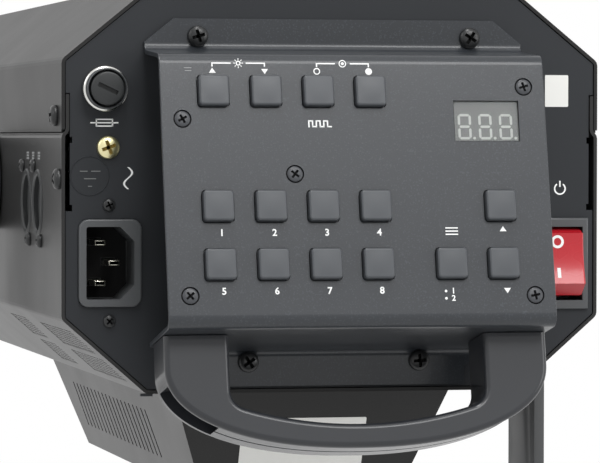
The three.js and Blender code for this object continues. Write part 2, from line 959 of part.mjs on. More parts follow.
// Places along X from the housing's side wall out to the knob, for one side
const stack = {
  bossIn: housing.halfWidth + seatGap,
  bossOut: yokeInner - washer.thickness - 2 * seatGap,
  washerIn: yokeInner - washer.thickness - seatGap,
  washerOut: yokeInner - seatGap,
  knobIn: yokeOuter + seatGap,
};

function turnedOut(side, profile, sides, at) {
  const points = profile.map(([radius, x]) => [radius, side * x]);
  return turned(points, "x", sides, at);
}

function pivotBoss(side, name) {
  const inner = housing.halfWidth - boss.stubLength;
  const bore = pivot.boreRadius;
  const profile = [
    [bore, inner],
    [boss.stubRadius, inner],
    [boss.stubRadius, stack.bossIn],
    [boss.radius, stack.bossIn],
    [boss.radius, stack.bossOut],
    [bore, stack.bossOut],
    [bore, inner],
  ];
  return named(name, turnedOut(side, profile, roundSides, [0, pivot.back, 0]), "bareMetal");
}

function frictionWasher(side, name) {
  const bore = pivot.boreRadius;
  const profile = [
    [bore, stack.washerIn],
    [washer.radius, stack.washerIn],
    [washer.radius, stack.washerOut],
    [bore, stack.washerOut],
    [bore, stack.washerIn],
  ];
  return named(name, turnedOut(side, profile, roundSides, [0, pivot.back, 0]), "friction");
}

function tiltKnob(side, name) {
  const shankEnd = housing.halfWidth - boss.stubLength + knob.shankPast;
  const hubEnd = stack.knobIn + knob.hubLength;
  const profile = [
    [0, shankEnd],
    [pivot.shankRadius, shankEnd],
    [pivot.shankRadius, stack.knobIn],
    [knob.hubRadius, stack.knobIn],
    [knob.hubRadius, hubEnd + knob.hubIn],
    [0, hubEnd + knob.hubIn],
  ];
  const shank = turnedOut(side, profile, boreSides, [0, pivot.back, 0]);
  const outline = [];
  const points = knob.lobes * knob.pointsPerLobe;
  for (let k = 0; k < points; k++) {
    const turn = (2 * Math.PI * k) / points;
    const radius = knob.lobeRadius + knob.lobeDepth * Math.cos(knob.lobes * turn) - knob.lobeDepth / 2;
    outline.push([pivot.back + radius * Math.cos(turn), radius * Math.sin(turn)]);
  }
  const ends = [side * hubEnd, side * (hubEnd + knob.thickness)].sort((a, b) => a - b);
  const head = pulled(outline, "x", ...ends, knob.edge);
  return named(name, join(shank, head), "blackPlastic");
}

// Control panel: the sheet is drawn in the rear plate's frame, and what it carries in its own leaning frame

const panelDown = new THREE.Vector2(-Math.sin(panel.lean), -Math.cos(panel.lean));
const panelIn = new THREE.Vector2(Math.cos(panel.lean), -Math.sin(panel.lean));
const panelTop = new THREE.Vector2(-panel.topOut, panel.topHeight);
const panelFoot = panelTop.clone().addScaledVector(panelDown, panel.length);
const flangeFace = -panel.sheet - seatGap;
const returnLength = (flangeFace - panelFoot.x) / panelIn.x;
const returnEnd = panelFoot.clone().addScaledVector(panelIn, returnLength);

function panelPoint(x, down, depth = 0) {
  const place = panelTop.clone().addScaledVector(panelDown, down).addScaledVector(panelIn, depth);
  return [x, place.x, place.y];
}

function keyPlaces() {
  const lowerRow = keyRows.colour + keyRows.spacing;
  const columns = columnShares.map((share) => share * panelHalf);
  const topNames = ["key_dim_up", "key_dim_down", "key_shutter_open", "key_blackout"];
  const places = topNames.map((name, i) => ({ name, x: columns[i], down: keyRows.top }));
  [keyRows.colour, lowerRow].forEach((down, row) => {
    columns.forEach((x, i) => {
      const number = row * columns.length + i + 1;
      places.push({ name: `key_colour_${number}`, x, down });
    });
  });
  places.push({ name: "key_mode", x: modeShare * panelHalf, down: lowerRow });
  places.push({ name: "key_up", x: rightShare * panelHalf, down: keyRows.colour });
  places.push({ name: "key_down", x: rightShare * panelHalf, down: lowerRow });
  return places;
}

// A block in the panel's own frame: x, how far down the face, how deep behind it
function panelBlock(x, down, width, height, from, to, corner = 0, bevel = 0) {
  return alongY(rectangle(width, height, corner, x, -down, 1), from, to, bevel);
}

// The panel's own frame, leaning back from the top edge of its face
function panelGroup() {
  const group = new THREE.Group();
  group.position.set(0, panelTop.x, panelTop.y);
  group.rotation.x = -panel.lean;
  return group;
}

function controlBox() {
  const line = [
    [flangeFace, panel.flangeTop],
    [flangeFace, panel.topHeight + panel.shelfDrop],
    [panelTop.x, panelTop.y],
    [panelFoot.x, panelFoot.y],
    [returnEnd.x, returnEnd.y],
    [flangeFace, returnEnd.y - panel.lowerFlange],
  ];
  const outline = folded(line, panel.sheet, panel.bend);
  let sheet = pulled(outline, "x", -panelHalf, panelHalf);
  const far = panelHalf + overrun;
  const upperHalf = panelHalf - panel.flangeTopInset;
  const lowerHalf = panelHalf - panel.lowerFlangeInset;
  const corner = panel.lowerFlange / 2;
  const shelfRoot = panel.topHeight + panel.shelfDrop + panel.sheet + panel.bend;
  const flangeFoot = returnEnd.y - panel.lowerFlange;
  const flangeDepth = [flangeFace - overrun, overrun];
  for (const side of [-1, 1]) {
    const upper = [
      [side * upperHalf, panel.flangeTop + overrun],
      [side * far, panel.flangeTop + overrun],
      [side * far, shelfRoot],
      [side * panelHalf, shelfRoot],
      [side * upperHalf, panel.flangeTop],
    ];
    const lower = [
      [side * far, flangeFoot - overrun],
      [side * lowerHalf, flangeFoot - overrun],
      [side * lowerHalf, flangeFoot + corner],
      [side * (lowerHalf + corner), returnEnd.y - panel.bend],
      [side * far, returnEnd.y - panel.bend],
    ];
    sheet = cut(sheet, alongY(upper, ...flangeDepth), alongY(lower, ...flangeDepth));
  }
  const openings = keyPlaces().map(({ x, down }) => {
    const size = key.size + 2 * slideGap;
    return panelBlock(x, down, size, size, -overrun, panel.sheet + overrun);
  });
  const { down, width, height } = display;
  openings.push(panelBlock(displayX, down, width, height, -overrun, panel.sheet + overrun));
  return named("control_box", cut(sheet, ...openings.map(leaned)), "panelPaint");
}

// A solid drawn in the panel's frame, moved into the rear plate's frame
function leaned(made) {
  return moved(made, panelGroup());
}

function keyCap({ name, x, down }) {
  const back = panel.sheet + seatGap;
  const plungerEnd = board.depth - key.switchHeight + key.plungerIn;
  const cap = panelBlock(x, down, key.size, key.size, -key.proud, back + key.flange, key.corner, key.edge);
  const width = key.flangeWidth;
  const flange = panelBlock(x, down, width, width, back, back + key.flange);
  const plunger = panelBlock(x, down, key.plunger, key.plunger, back, plungerEnd);
  return named(name, join(cap, flange, plunger), "keyPlastic");
}

function keyBoard() {
  const { inset: margin, top, bottom, thickness, depth } = board;
  const middle = (top + bottom) / 2;
  const width = 2 * (panelHalf - margin);
  const plate = panelBlock(0, middle, width, bottom - top, depth, depth + thickness);
  const parts = keyPlaces().map(({ x, down }) => {
    const size = key.switchWidth;
    return panelBlock(x, down, size, size, depth - key.switchHeight, depth);
  });
  for (const [across, down] of panelScrewShares) {
    const at = [across * panelHalf, 0, -down * panel.length];
    parts.push(rod(board.spacerRadius, "y", panel.sheet + seatGap, depth, at, smallSides));
  }
  const wells = keyPlaces().map(({ x, down }) => {
    const from = depth - key.switchHeight - overrun;
    const to = depth - key.switchHeight + key.plungerIn + key.travel + seatGap;
    return panelBlock(x, down, key.plunger + 2 * seatGap, key.plunger + 2 * seatGap, from, to);
  });
  return named("key_board", cut(join(plate, ...parts), ...wells), "circuit");
}

function displayWindow() {
  const { down, width, height, recess, pane } = display;
  const gap = 2 * seatGap;
  const glass = panelBlock(displayX, down, width - gap, height - gap, recess, recess + pane);
  return named("display_window", glass, "glass");
}

function displayModule() {
  const { down, moduleWidth, moduleHeight } = display;
  const from = panel.sheet + seatGap;
  const to = board.depth - seatGap;
  const made = panelBlock(displayX, down, moduleWidth, moduleHeight, from, to);
  return named("display_module", made, "displayFace");
}

// Handle

// Part of the bow's outer edge, as (x, down), between two shares of its way from the left root
function bowOuter(inward, fromShare = 0, toShare = 1) {
  const half = panelHalf - handle.outerInset - inward;
  const rise = handle.outerBottom - handle.outerBend - inward;
  const power = 2 / handle.roundness;
  const count = Math.round((toShare - fromShare) * bowSteps);
  const points = [];
  for (let k = 0; k <= count; k++) {
    const turn = Math.PI * (fromShare + k / bowSteps);
    const [across, fall] = [Math.cos(turn), Math.sin(turn)];
    const x = -Math.sign(across) * half * Math.abs(across) ** power;
    points.push([x, handle.outerBend + rise * Math.abs(fall) ** power]);
  }
  return points;
}

// The inner edge from the right leg to the left one: straight legs, rounded corners, a shallow arc
function bowInner() {
  const half = panelHalf - handle.outerInset - handle.legWidth;
  const sag = handle.innerBottom - handle.innerBend;
  const radius = (half ** 2 + sag ** 2) / (2 * sag);
  const points = [];
  for (let k = 0; k <= arcSteps; k++) {
    const x = half * (1 - (2 * k) / arcSteps);
    const isEnd = k === 0 || k === arcSteps;
    const down = handle.innerBottom - radius + Math.sqrt(radius ** 2 - x ** 2);
    points.push([x, down, isEnd ? handle.innerCorner : 0]);
  }
  return points;
}

// A cutter that follows the bow's outer edge, between two depths behind the handle's front
function bowChannel(sink, from, to, fromShare, toShare) {
  const outside = bowOuter(-overrun, fromShare, toShare);
  const inside = bowOuter(sink, fromShare, toShare).reverse();
  const outline = [...outside, ...inside].map(([x, down]) => [x, -down]);
  return alongY(outline, handle.setback + from, handle.setback + to);
}

function bowHandle() {
  const { setback, depth, chamfer, recess, recessFrom, recessTo, groove, grooveFrom, grooveWidth } = handle;
  const half = panelHalf - handle.outerInset;
  const inner = half - handle.legWidth;
  const root = panel.length - overrun;
  const outer = [[-half, root], ...bowOuter(0), [half, root]];
  const corners = [...outer, [inner, root], ...bowInner(), [-inner, root]];
  const outline = filleted(corners.map(([x, down, radius]) => [x, -down, radius]), crownSteps);
  const bow = alongY(outline, setback, setback + depth, chamfer);
  const seat = -panel.length - seatGap;
  const above = block(
    [-half - overrun, setback - overrun, seat],
    [half + overrun, setback + depth + overrun, seat + 2 * overrun],
  );
  const [start, end] = recessShares;
  const channels = [
    bowChannel(recess, recessFrom, recessTo, start, end),
    bowChannel(recess, recessFrom, recessTo, 1 - end, 1 - start),
    bowChannel(groove, grooveFrom, grooveFrom + grooveWidth, end, 1 - end),
  ];
  return named("handle", cut(bow, above, ...channels), "handlePlastic");
}

// Rear plate fittings

const rockerBody = {
  width: rocker.width + 2 * slideGap + 2 * rocker.bezelEdge,
  height: 2 * rocker.wellHalf + 4 * rocker.bezelEdge,
};

function mainsInlet() {
  const x = inletX;
  const { z, rimWidth, rimHeight, rimCorner, rimProud, ear, body } = inlet;
  const back = pan.sheet + seatGap;
  const rim = alongY(rectangle(rimWidth, rimHeight, rimCorner, x, z), -rimProud, back + ear);
  const earShape = rectangle(inlet.earWidth, inlet.earHeight, inlet.earCorner, x, z);
  const ears = alongY(earShape, back, back + ear);
  const inner = [rimWidth - inlet.rimProud, rimHeight - inlet.rimProud];
  const shell = alongY(rectangle(...inner, 0, x, z), back, back + body);
  const { cavityWidth: w, cavityHeight: h, cavityChamfer: c } = inlet;
  const cavity = [
    [x - w / 2, z - h / 2],
    [x + w / 2 - c, z - h / 2],
    [x + w / 2, z - h / 2 + c],
    [x + w / 2, z + h / 2 - c],
    [x + w / 2 - c, z + h / 2],
    [x - w / 2, z + h / 2],
  ];
  const hollow = alongY(cavity, -rimProud - overrun, inlet.cavityDepth);
  const slots = inletPins().map((pin) => pinBlock(pin, seatGap, 2 * inletPin.tail));
  return named("mains_inlet", cut(join(rim, ears, shell), hollow, ...slots), "blackPlastic");
}

function inletPins() {
  const { pairSpacing, pairOffset, earthOffset } = inletPin;
  return [
    { name: "inlet_pin_upper", x: inletX + pairOffset, z: inlet.z + pairSpacing / 2 },
    { name: "inlet_pin_lower", x: inletX + pairOffset, z: inlet.z - pairSpacing / 2 },
    { name: "inlet_pin_earth", x: inletX + earthOffset, z: inlet.z },
  ];
}

function pinBlock({ x, z }, gap, tail) {
  const [w, h] = [inletPin.width / 2 + gap, inletPin.thickness / 2 + gap];
  const end = pan.sheet + seatGap + inlet.body + tail;
  const from = gap > 0 ? inlet.cavityDepth - overrun : inletPin.tip - inlet.rimProud;
  return block([x - w, from, z - h], [x + w, end, z + h]);
}

function fuseHolder() {
  const { ringRadius, ringProud, ringBevel, bodyRadius, bodyLength, boreRadius } = fuse;
  const { recessRadius, recessDepth, sleeveRadius, sleeveProud } = fuse;
  const back = pan.sheet + seatGap;
  const mouth = recessDepth - sleeveProud;
  const lip = boreRadius - ringBevel;
  const end = back + bodyLength;
  const profile = [
    [recessRadius, -sleeveProud],
    [sleeveRadius, -sleeveProud],
    [sleeveRadius, -ringProud],
    [ringRadius - ringBevel, -ringProud],
    [ringRadius, -ringProud + ringBevel],
    [ringRadius, -seatGap],
    [bodyRadius, -seatGap],
    [bodyRadius, end],
    [lip, end],
    [lip, end - ringBevel],
    [boreRadius, end - ringBevel],
    [boreRadius, mouth],
    [recessRadius, mouth],
    [recessRadius, -sleeveProud],
  ];
  return named("fuse_holder", turned(profile, "y", roundSides, [fuseX, 0, fuse.z]), "nickel");
}

function fuseCap() {
  const { z, capRadius, capProud, capLength } = fuse;
  const { slotLength, slotWidth, slotDepth, slotTurn } = fuse;
  const grip = fuse.boreRadius - seatGap;
  const deep = fuse.recessDepth - fuse.sleeveProud - seatGap;
  const profile = [
    [0, -capProud],
    [capRadius - slotDepth / 4, -capProud],
    [capRadius, -capProud + slotDepth / 4],
    [capRadius, deep],
    [grip, deep],
    [grip, -capProud + capLength],
    [0, -capProud + capLength],
  ];
  const cap = turned(profile, "y", roundSides, [fuseX, 0, z]);
  const slot = pulled(
    rectangle(slotWidth, slotLength, 0),
    "y",
    -capProud - overrun,
    -capProud + slotDepth,
  );
  const placed = new THREE.Group();
  placed.position.set(fuseX, 0, z);
  placed.rotation.y = slotTurn;
  const cutter = moved(slot, placed);
  return named("fuse_cap", cut(cap, cutter), "blackPlastic");
}

function fuseCartridge() {
  const from = -fuse.capProud + fuse.capLength + seatGap;
  const at = [fuseX, 0, fuse.z];
  const end = from + fuse.cartridgeLength;
  const glass = rod(fuse.cartridgeRadius - seatGap, "y", from, end, at, smallSides);
  const ferrule = fuse.cartridgeLength / 4;
  const rear = rod(fuse.cartridgeRadius, "y", from, from + ferrule, at, smallSides);
  const front = rod(fuse.cartridgeRadius, "y", end - ferrule, end, at, smallSides);
  return named("fuse_cartridge", join(glass, rear, front), "nickel");
}

function rockerBezel() {
  const x = rockerX;
  const { z, bezelWidth, bezelHeight, bezelProud, bezelEdge, bodyDepth } = rocker;
  const front = alongY(rectangle(bezelWidth, bezelHeight, 0, x, z), -bezelProud, -seatGap, bezelEdge);
  const [w, h] = [rockerBody.width - 2 * seatGap, rockerBody.height - 2 * seatGap];
  const body = alongY(rectangle(w, h, 0, x, z), -bezelEdge, bodyDepth);
  const [cw, ch] = [rocker.width + 2 * slideGap, 2 * rocker.wellHalf];
  const well = rocker.pivotIn + rocker.rootRadius;
  const hollow = alongY(rectangle(cw, ch, 0, x, z), -bezelProud - overrun, well);
  return named("rocker_bezel", cut(join(front, body), hollow), "blackPlastic");
}

// The rocker's side view about its pivot, level, as (out, up)
function rockerView() {
  const { halfHeight, endDrop, ridgeHalf, ridgeProud, dish, pivotIn, rootRadius } = rocker;
  const rootSteps = bendSteps * 2;
  const view = [
    [pivotIn + ridgeProud, ridgeHalf],
    [pivotIn + ridgeProud - dish, ridgeHalf / 3],
    [pivotIn + ridgeProud - dish, -ridgeHalf / 3],
    [pivotIn + ridgeProud, -ridgeHalf],
    [pivotIn - endDrop, -halfHeight],
    [pivotIn / 2, -halfHeight],
  ];
  for (let k = 1; k < rootSteps; k++) {
    const turn = (Math.PI * k) / rootSteps;
    view.push([-rocker.rootDepthShare * rootRadius * Math.sin(turn), -rootRadius * Math.cos(turn)]);
  }
  view.push([pivotIn / 2, halfHeight], [pivotIn - endDrop, halfHeight]);
  return view;
}

function rockerKey() {
  const { z, pivotIn, swing, width } = rocker;
  const placed = rockerView().map(([out, up]) => {
    const y = pivotIn - rocker.bezelProud - (out * Math.cos(swing) - up * Math.sin(swing));
    return [y, z + up * Math.cos(swing) + out * Math.sin(swing)];
  });
  const made = pulled(placed, "x", rockerX - width / 2, rockerX + width / 2);
  return named("rocker", made, "switchRed");
}

function xlrSocket(along, name, hasPins) {
  const wall = -housing.halfWidth;
  const inner = wall + housing.sheet + seatGap;
  const at = [0, along, xlr.z];
  const rim = rod(xlr.rimRadius, "x", wall - xlr.rimProud, inner + xlr.flange, at, roundSides);
  const outline = rectangle(xlr.flangeWidth, xlr.flangeHeight, 0, along, xlr.z);
  const flange = pulled(outline, "x", inner, inner + xlr.flange);
  const body = rod(xlr.rimRadius, "x", inner, inner + xlr.bodyLength, at, roundSides);
  const floor = wall - xlr.rimProud + xlr.cavityDepth;
  const hollow = rod(xlr.cavityRadius, "x", wall - xlr.rimProud - overrun, floor, at, roundSides);
  let socket = cut(join(rim, flange, body), hollow);
  const mouth = wall - xlr.rimProud / 2;
  const insert = rod(xlr.insertRadius, "x", mouth, floor + xlr.pinInset, at, roundSides);
  if (!hasPins) socket = join(socket, insert);
  for (let k = 0; k < xlr.poles; k++) {
    const turn = (2 * Math.PI * k) / xlr.poles + Math.PI / 2;
    const place = [
      0,
      along + xlr.pinCircle * Math.cos(turn),
      xlr.z + xlr.pinCircle * Math.sin(turn),
    ];
    if (hasPins) {
      const pin = rod(xlr.pinRadius, "x", mouth + xlr.pinInset, floor + xlr.pinInset, place, pinSides);
      socket = join(socket, pin);
    } else {
      const contact = rod(xlr.contactRadius, "x", mouth - overrun, floor, place, pinSides);
      socket = cut(socket, contact);
    }
  }
  return named(name, socket, "blackPlastic");
}

// Optics

function opticsChassis() {
  const { sheet, foot, margin, uprightTop } = chassis;
  const floor = trayFloor + seatGap;
  const from = stationShares.chassisBack * housing.length;
  const to = stationShares.chassisFront * housing.length;
  const half = wheelCentre + motor.pilotRadius + margin;
  const base = block([-half - foot, from, floor], [half + foot, to, floor + sheet]);
  const upright = (plane) => block([-half, plane, floor], [half, plane + sheet, uprightTop]);
  const lampPlane = lampFace + seatGap;
  const planes = [lampPlane, condenserPlane, motorPlane, irisPlane];
  const through = (plane) => [plane - overrun, plane + sheet + overrun];
  const lampHole = lamp.boardSize / 2 + seatGap;
  const holes = [
    block(
      [-lampHole, lampPlane - overrun, -lampHole],
      [lampHole, lampPlane + sheet + overrun, lampHole],
    ),
    rod(condenser.radius + seatGap, "y", ...through(condenserPlane), [0, 0, 0], roundSides),
    rod(iris.bore, "y", ...through(motorPlane)),
    rod(motor.pilotRadius + seatGap, "y", ...through(motorPlane), [wheelCentre, 0, 0]),
    rod(iris.bore, "y", ...through(irisPlane)),
  ];
  const made = cut(join(base, ...planes.map(upright)), ...holes);
  return named("optics_chassis", made, "bareMetal");
}

function finnedSink() {
  const { size, base, fin, fins, finThickness } = heatSink;
  const half = size / 2;
  const [front, root, tip] = [lampFace, lampFace - base, lampFace - base - fin];
  const outline = [[half, front], [-half, front]];
  const pitch = (size - finThickness) / (fins - 1);
  for (let i = 0; i < fins; i++) {
    const x = -half + i * pitch;
    outline.push([x, tip], [x + finThickness, tip]);
    if (i < fins - 1) outline.push([x + finThickness, root], [x + pitch, root]);
  }
  return named("heat_sink", pulled(outline, "z", -half, half), "bareMetal");
}

function lampModule() {
  const from = lampFace + seatGap;
  const half = lamp.boardSize / 2;
  const plate = block([-half, from, -half], [half, from + lamp.board, half]);
  const top = from + lamp.board;
  const profile = [
    [0, from],
    [lamp.domeRadius, from],
    [lamp.domeRadius, top + lamp.rimShare * lamp.dome],
    [lamp.shoulderRadiusShare * lamp.domeRadius, top + lamp.shoulderShare * lamp.dome],
    [0, top + lamp.dome],
  ];
  return named("led_module", join(plate, turned(profile, "y", boreSides)), "lampYellow");
}

const fanFront = lampFace - heatSink.base - heatSink.fin - seatGap;
const fanBack = fanFront - fan.depth;

function fanFrame() {
  const half = fan.size / 2;
  const frame = alongY(rectangle(fan.size, fan.size, fan.strut), fanBack, fanFront);
  const bore = rod(fan.boreRadius, "y", fanBack - overrun, fanFront + overrun, [0, 0, 0], roundSides);
  const hub = rod(fan.hubRadius, "y", fanFront - fan.strut, fanFront);
  const shaft = rod(fan.shaftRadius, "y", fanBack + fan.strut, fanFront, [0, 0, 0], smallSides);
  const width = fan.strutWidth / 2;
  const reach = (half + fan.boreRadius) / 2;
  const struts = [
    block([-reach, fanFront - fan.strut, -width], [reach, fanFront, width]),
    block([-width, fanFront - fan.strut, -reach], [width, fanFront, reach]),
  ];
  return named("fan_frame", join(cut(frame, bore), hub, shaft, ...struts), "blackPlastic");
}

function fanRotor() {
  const from = fanBack + fan.strut;
  const to = from + fan.hubDepth;
  const hub = rod(fan.hubRadius, "y", from, to);
  const bore = rod(fan.shaftRadius + seatGap, "y", from - overrun, to + overrun, [0, 0, 0], smallSides);
  const blades = [];
  for (let k = 0; k < fan.blades; k++) {
    const length = fan.rotorRadius - fan.hubRadius / 2;
    const blade = new THREE.BoxGeometry(fan.bladeWidth, fan.bladeThickness, length);
    blade.rotateZ(fan.pitch);
    blade.translate(0, (from + to) / 2, fan.hubRadius / 2 + length / 2);
    blade.rotateY((2 * Math.PI * k) / fan.blades);
    blades.push(solid(blade));
  }
  const swept = rod(fan.rotorRadius, "y", from, to, [0, 0, 0], roundSides);
  const made = cut(join(hub, ...blades.map((blade) => blade.intersect(swept))), bore);
  return named("fan_rotor", made, "blackPlastic");
}

function lensProfile(plane, radius, edge, crown) {
  const profile = [[0, plane], [radius, plane], [radius, plane + edge]];
  for (let k = 1; k < crownSteps; k++) {
    const share = k / crownSteps;
    profile.push([radius * (1 - share), plane + edge + crown * (1 - (1 - share) ** 2)]);
  }
  profile.push([0, plane + edge + crown]);
  return profile;
}

function condenserLens() {
  const { radius, edge, crown } = condenser;
  const from = condenserPlane - (edge - chassis.sheet) / 2;
  return named("condenser_lens", turned(lensProfile(from, radius, edge, crown), "y", roundSides), "glass");
}

function colourWheel() {
  const { thickness, apertures, apertureRadius, filter, hubRadius, hub } = wheel;
  const at = [wheelCentre, 0, 0];
  const front = wheelPlane + thickness;
  const disc = rod(wheelRadius, "y", wheelPlane, front, at, roundSides);
  const boss = rod(hubRadius, "y", wheelPlane, front + hub, at);
  const cuts = [rod(motor.shaftRadius + seatGap, "y", wheelPlane - overrun, front + hub + overrun, at)];
  for (let k = 0; k < apertures; k++) {
    const turn = Math.PI + (2 * Math.PI * k) / apertures;
    const place = [wheelCentre * (1 + Math.cos(turn)), 0, wheelCentre * Math.sin(turn)];
    const from = k === 0 ? wheelPlane - overrun : wheelPlane + filter;
    cuts.push(rod(apertureRadius, "y", from, front + overrun, place));
  }
  return named("colour_wheel", cut(join(disc, boss), ...cuts), "bareMetal");
}

function wheelMotor() {
  const back = motorPlane + chassis.sheet + seatGap;
  const at = [wheelCentre, 0, 0];
  const outline = rectangle(motor.size, motor.size, motor.corner, wheelCentre, 0);
  const body = alongY(outline, back, back + motor.length);
  const pilot = rod(motor.pilotRadius, "y", back - motor.pilot, back, at);
  const shaft = rod(motor.shaftRadius, "y", motorPlane - motor.shaft, back, at);
  return named("wheel_motor", join(body, pilot, shaft), "blackPlastic");
}

function irisHousing() {
  const from = irisPlane + chassis.sheet + seatGap;
  const to = from + iris.depth;
  const profile = [
    [iris.bore, from],
    [iris.outer, from],
    [iris.outer, to],
    [iris.sleeve - seatGap, to],
    [iris.sleeve - seatGap, to + iris.sleeveLength],
    [iris.bore, to + iris.sleeveLength],
    [iris.bore, from],
  ];
  return named("iris_housing", turned(profile, "y", roundSides), "bareMetal");
}

function irisLever() {
  const [from, to] = [leverPlane, leverPlane + iris.lever];
  const ring = rod(iris.leverOuter, "y", from, to, [0, 0, 0], roundSides);
  const half = iris.armWidth / 2;
  const arm = block([-half, from, 0], [half, to, leverTop]);
  const bore = rod(iris.sleeve, "y", from - overrun, to + overrun, [0, 0, 0], roundSides);
  const middle = (from + to) / 2;
  const top = leverTop + iris.gripLength;
  const grip = rod(iris.gripRadius, "z", leverTop - iris.gripSocket, top, [0, middle, 0]);
  return named("iris_lever", join(cut(join(ring, arm), bore), grip), "blackPlastic");
}

const barrelBore = barrel.radius - barrel.wall;
const lensPlane = barrelFrom + barrel.lensSeat + barrel.seatLength + seatGap;

function lensBarrel() {
  const { radius, length, rim, rimLength, lensSeat, seatLip, seatLength } = barrel;
  const from = barrelFrom;
  const to = from + length;
  const profile = [
    [barrelBore, from],
    [radius, from],
    [radius, to - rimLength],
    [radius + rim, to - rimLength + rim],
    [radius + rim, to - rim / 2],
    [radius + rim / 2, to],
    [barrelBore, to],
    [barrelBore, from + lensSeat + seatLength],
    [barrelBore - seatLip, from + lensSeat + seatLength],
    [barrelBore - seatLip, from + lensSeat],
    [barrelBore, from + lensSeat],
    [barrelBore, from],
  ];
  const shell = turned(profile, "y", tubeSides);
  const deep = [radius - 2 * barrel.wall, radius + overrun];
  const hole = rod(focusKnob.studRadius + seatGap, "z", ...deep, [0, focusStud, 0]);
  return named("lens_barrel", cut(shell, hole), "housingPaint");
}

function objectiveLens() {
  const radius = barrelBore - seatGap;
  const profile = lensProfile(lensPlane, radius, frontLens.edge, frontLens.crown);
  return named("front_lens", turned(profile, "y", tubeSides), "glass");
}

function focusThumbscrew() {
  const { studRadius, collarRadius, collar, radius, height, grip, grips, edge } = focusKnob;
  const foot = barrel.radius - barrel.wall / 2;
  const rest = housing.top + seatGap;
  const at = [0, focusStud, 0];
  const stud = rod(studRadius, "z", foot, rest + collar, at);
  const neck = rod(collarRadius, "z", rest, rest + collar, at);
  const outline = [];
  const points = 2 * grips;
  for (let k = 0; k < points; k++) {
    const turn = (2 * Math.PI * k) / points;
    const reach = radius - (k % 2) * grip;
    outline.push([reach * Math.cos(turn), focusStud + reach * Math.sin(turn)]);
  }
  const head = pulled(outline, "z", rest + collar - edge, rest + collar + height, edge);
  return named("focus_knob", join(stud, neck, head), "blackPlastic");
}

function driverBoard() {
  const floor = trayFloor + seatGap + chassis.sheet + seatGap;
  const under = floor + driver.standoff;
  const half = driver.widthShare * (wheelCentre + motor.pilotRadius + chassis.margin + chassis.foot);
  const from = condenserPlane + chassis.sheet + driver.standoffRadius;
  const to = from + driver.length;
  const middle = (from + to) / 2;
  const chips = chipShares.map((share) => {
    const x = share * half;
    const top = under + 2 * driver.board;
    return block([x, middle - driver.chip / 2, under], [x + driver.chip, middle + driver.chip / 2, top]);
  });
  return named("driver_board", join(standingBoard(half, from, to, floor, driver), ...chips), "circuit");
}

// Assembly

function panelFittings() {
  const group = panelGroup();
  group.add(keyBoard(), displayModule(), displayWindow(), bowHandle(), ...keyPlaces().map(keyCap));
  return group;
}

function head() {
  const group = new THREE.Group();
  group.position.set(0, -pivot.back, pivot.height);
  group.add(upperCover(), lowerTray(), rearPlate(), frontPlate(), keelBox(), powerSupply());
  group.add(ventScreen(-1, "vent_screen_left"), ventScreen(1, "vent_screen_right"));
  group.add(controlBox(), panelFittings());
  group.add(mainsInlet(), fuseHolder(), fuseCap(), fuseCartridge(), rockerBezel(), rockerKey());
  for (const pin of inletPins()) group.add(named(pin.name, pinBlock(pin, 0, inletPin.tail), "nickel"));
  group.add(xlrSocket(xlr.first, "data_socket_in", true));
  group.add(xlrSocket(xlr.first + xlr.spacing, "data_socket_out", false));
  group.add(opticsChassis(), finnedSink(), lampModule(), fanFrame(), fanRotor(), condenserLens());
  group.add(colourWheel(), wheelMotor(), irisHousing(), irisLever(), driverBoard());
  group.add(lensBarrel(), objectiveLens(), focusThumbscrew());
  group.add(pivotBoss(-1, "pivot_boss_left"), pivotBoss(1, "pivot_boss_right"));
  group.add(frictionWasher(-1, "friction_washer_left"), frictionWasher(1, "friction_washer_right"));
  group.add(tiltKnob(-1, "tilt_knob_left"), tiltKnob(1, "tilt_knob_right"));
  return group;
}

const followspot = new THREE.Group();
followspot.add(yokeStrap(), head());

export default followspot;
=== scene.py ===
import json
import math

import bmesh
import bpy
from mathutils import Matrix, Vector

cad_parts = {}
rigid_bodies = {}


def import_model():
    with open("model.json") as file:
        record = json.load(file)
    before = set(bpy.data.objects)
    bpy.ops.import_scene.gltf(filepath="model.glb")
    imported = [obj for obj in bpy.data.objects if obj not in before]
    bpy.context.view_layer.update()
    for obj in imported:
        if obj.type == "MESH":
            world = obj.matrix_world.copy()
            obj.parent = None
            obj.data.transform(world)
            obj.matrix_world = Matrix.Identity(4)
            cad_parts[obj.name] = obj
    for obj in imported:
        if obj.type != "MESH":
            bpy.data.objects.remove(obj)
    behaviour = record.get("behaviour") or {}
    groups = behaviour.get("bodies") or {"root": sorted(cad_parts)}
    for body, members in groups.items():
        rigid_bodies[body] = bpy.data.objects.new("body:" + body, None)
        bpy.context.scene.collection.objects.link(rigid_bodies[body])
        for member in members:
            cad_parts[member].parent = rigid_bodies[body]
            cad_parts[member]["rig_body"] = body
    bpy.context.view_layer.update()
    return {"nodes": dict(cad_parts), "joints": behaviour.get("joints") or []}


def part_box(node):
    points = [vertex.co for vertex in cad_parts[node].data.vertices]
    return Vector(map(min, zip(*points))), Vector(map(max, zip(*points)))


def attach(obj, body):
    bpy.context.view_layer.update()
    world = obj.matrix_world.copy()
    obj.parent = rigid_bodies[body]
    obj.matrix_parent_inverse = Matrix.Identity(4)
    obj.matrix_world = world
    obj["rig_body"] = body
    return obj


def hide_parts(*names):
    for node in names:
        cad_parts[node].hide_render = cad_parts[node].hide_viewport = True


# A followspot seen from behind. Shapes are drawn in millimetres on a named face and placed in metres.

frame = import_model()

MM = 0.001


def joint(name):
    return next(j for j in frame["joints"] if j["name"] == name)


def corner_mm(node, which):
    return Vector(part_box(node)[which]) / MM


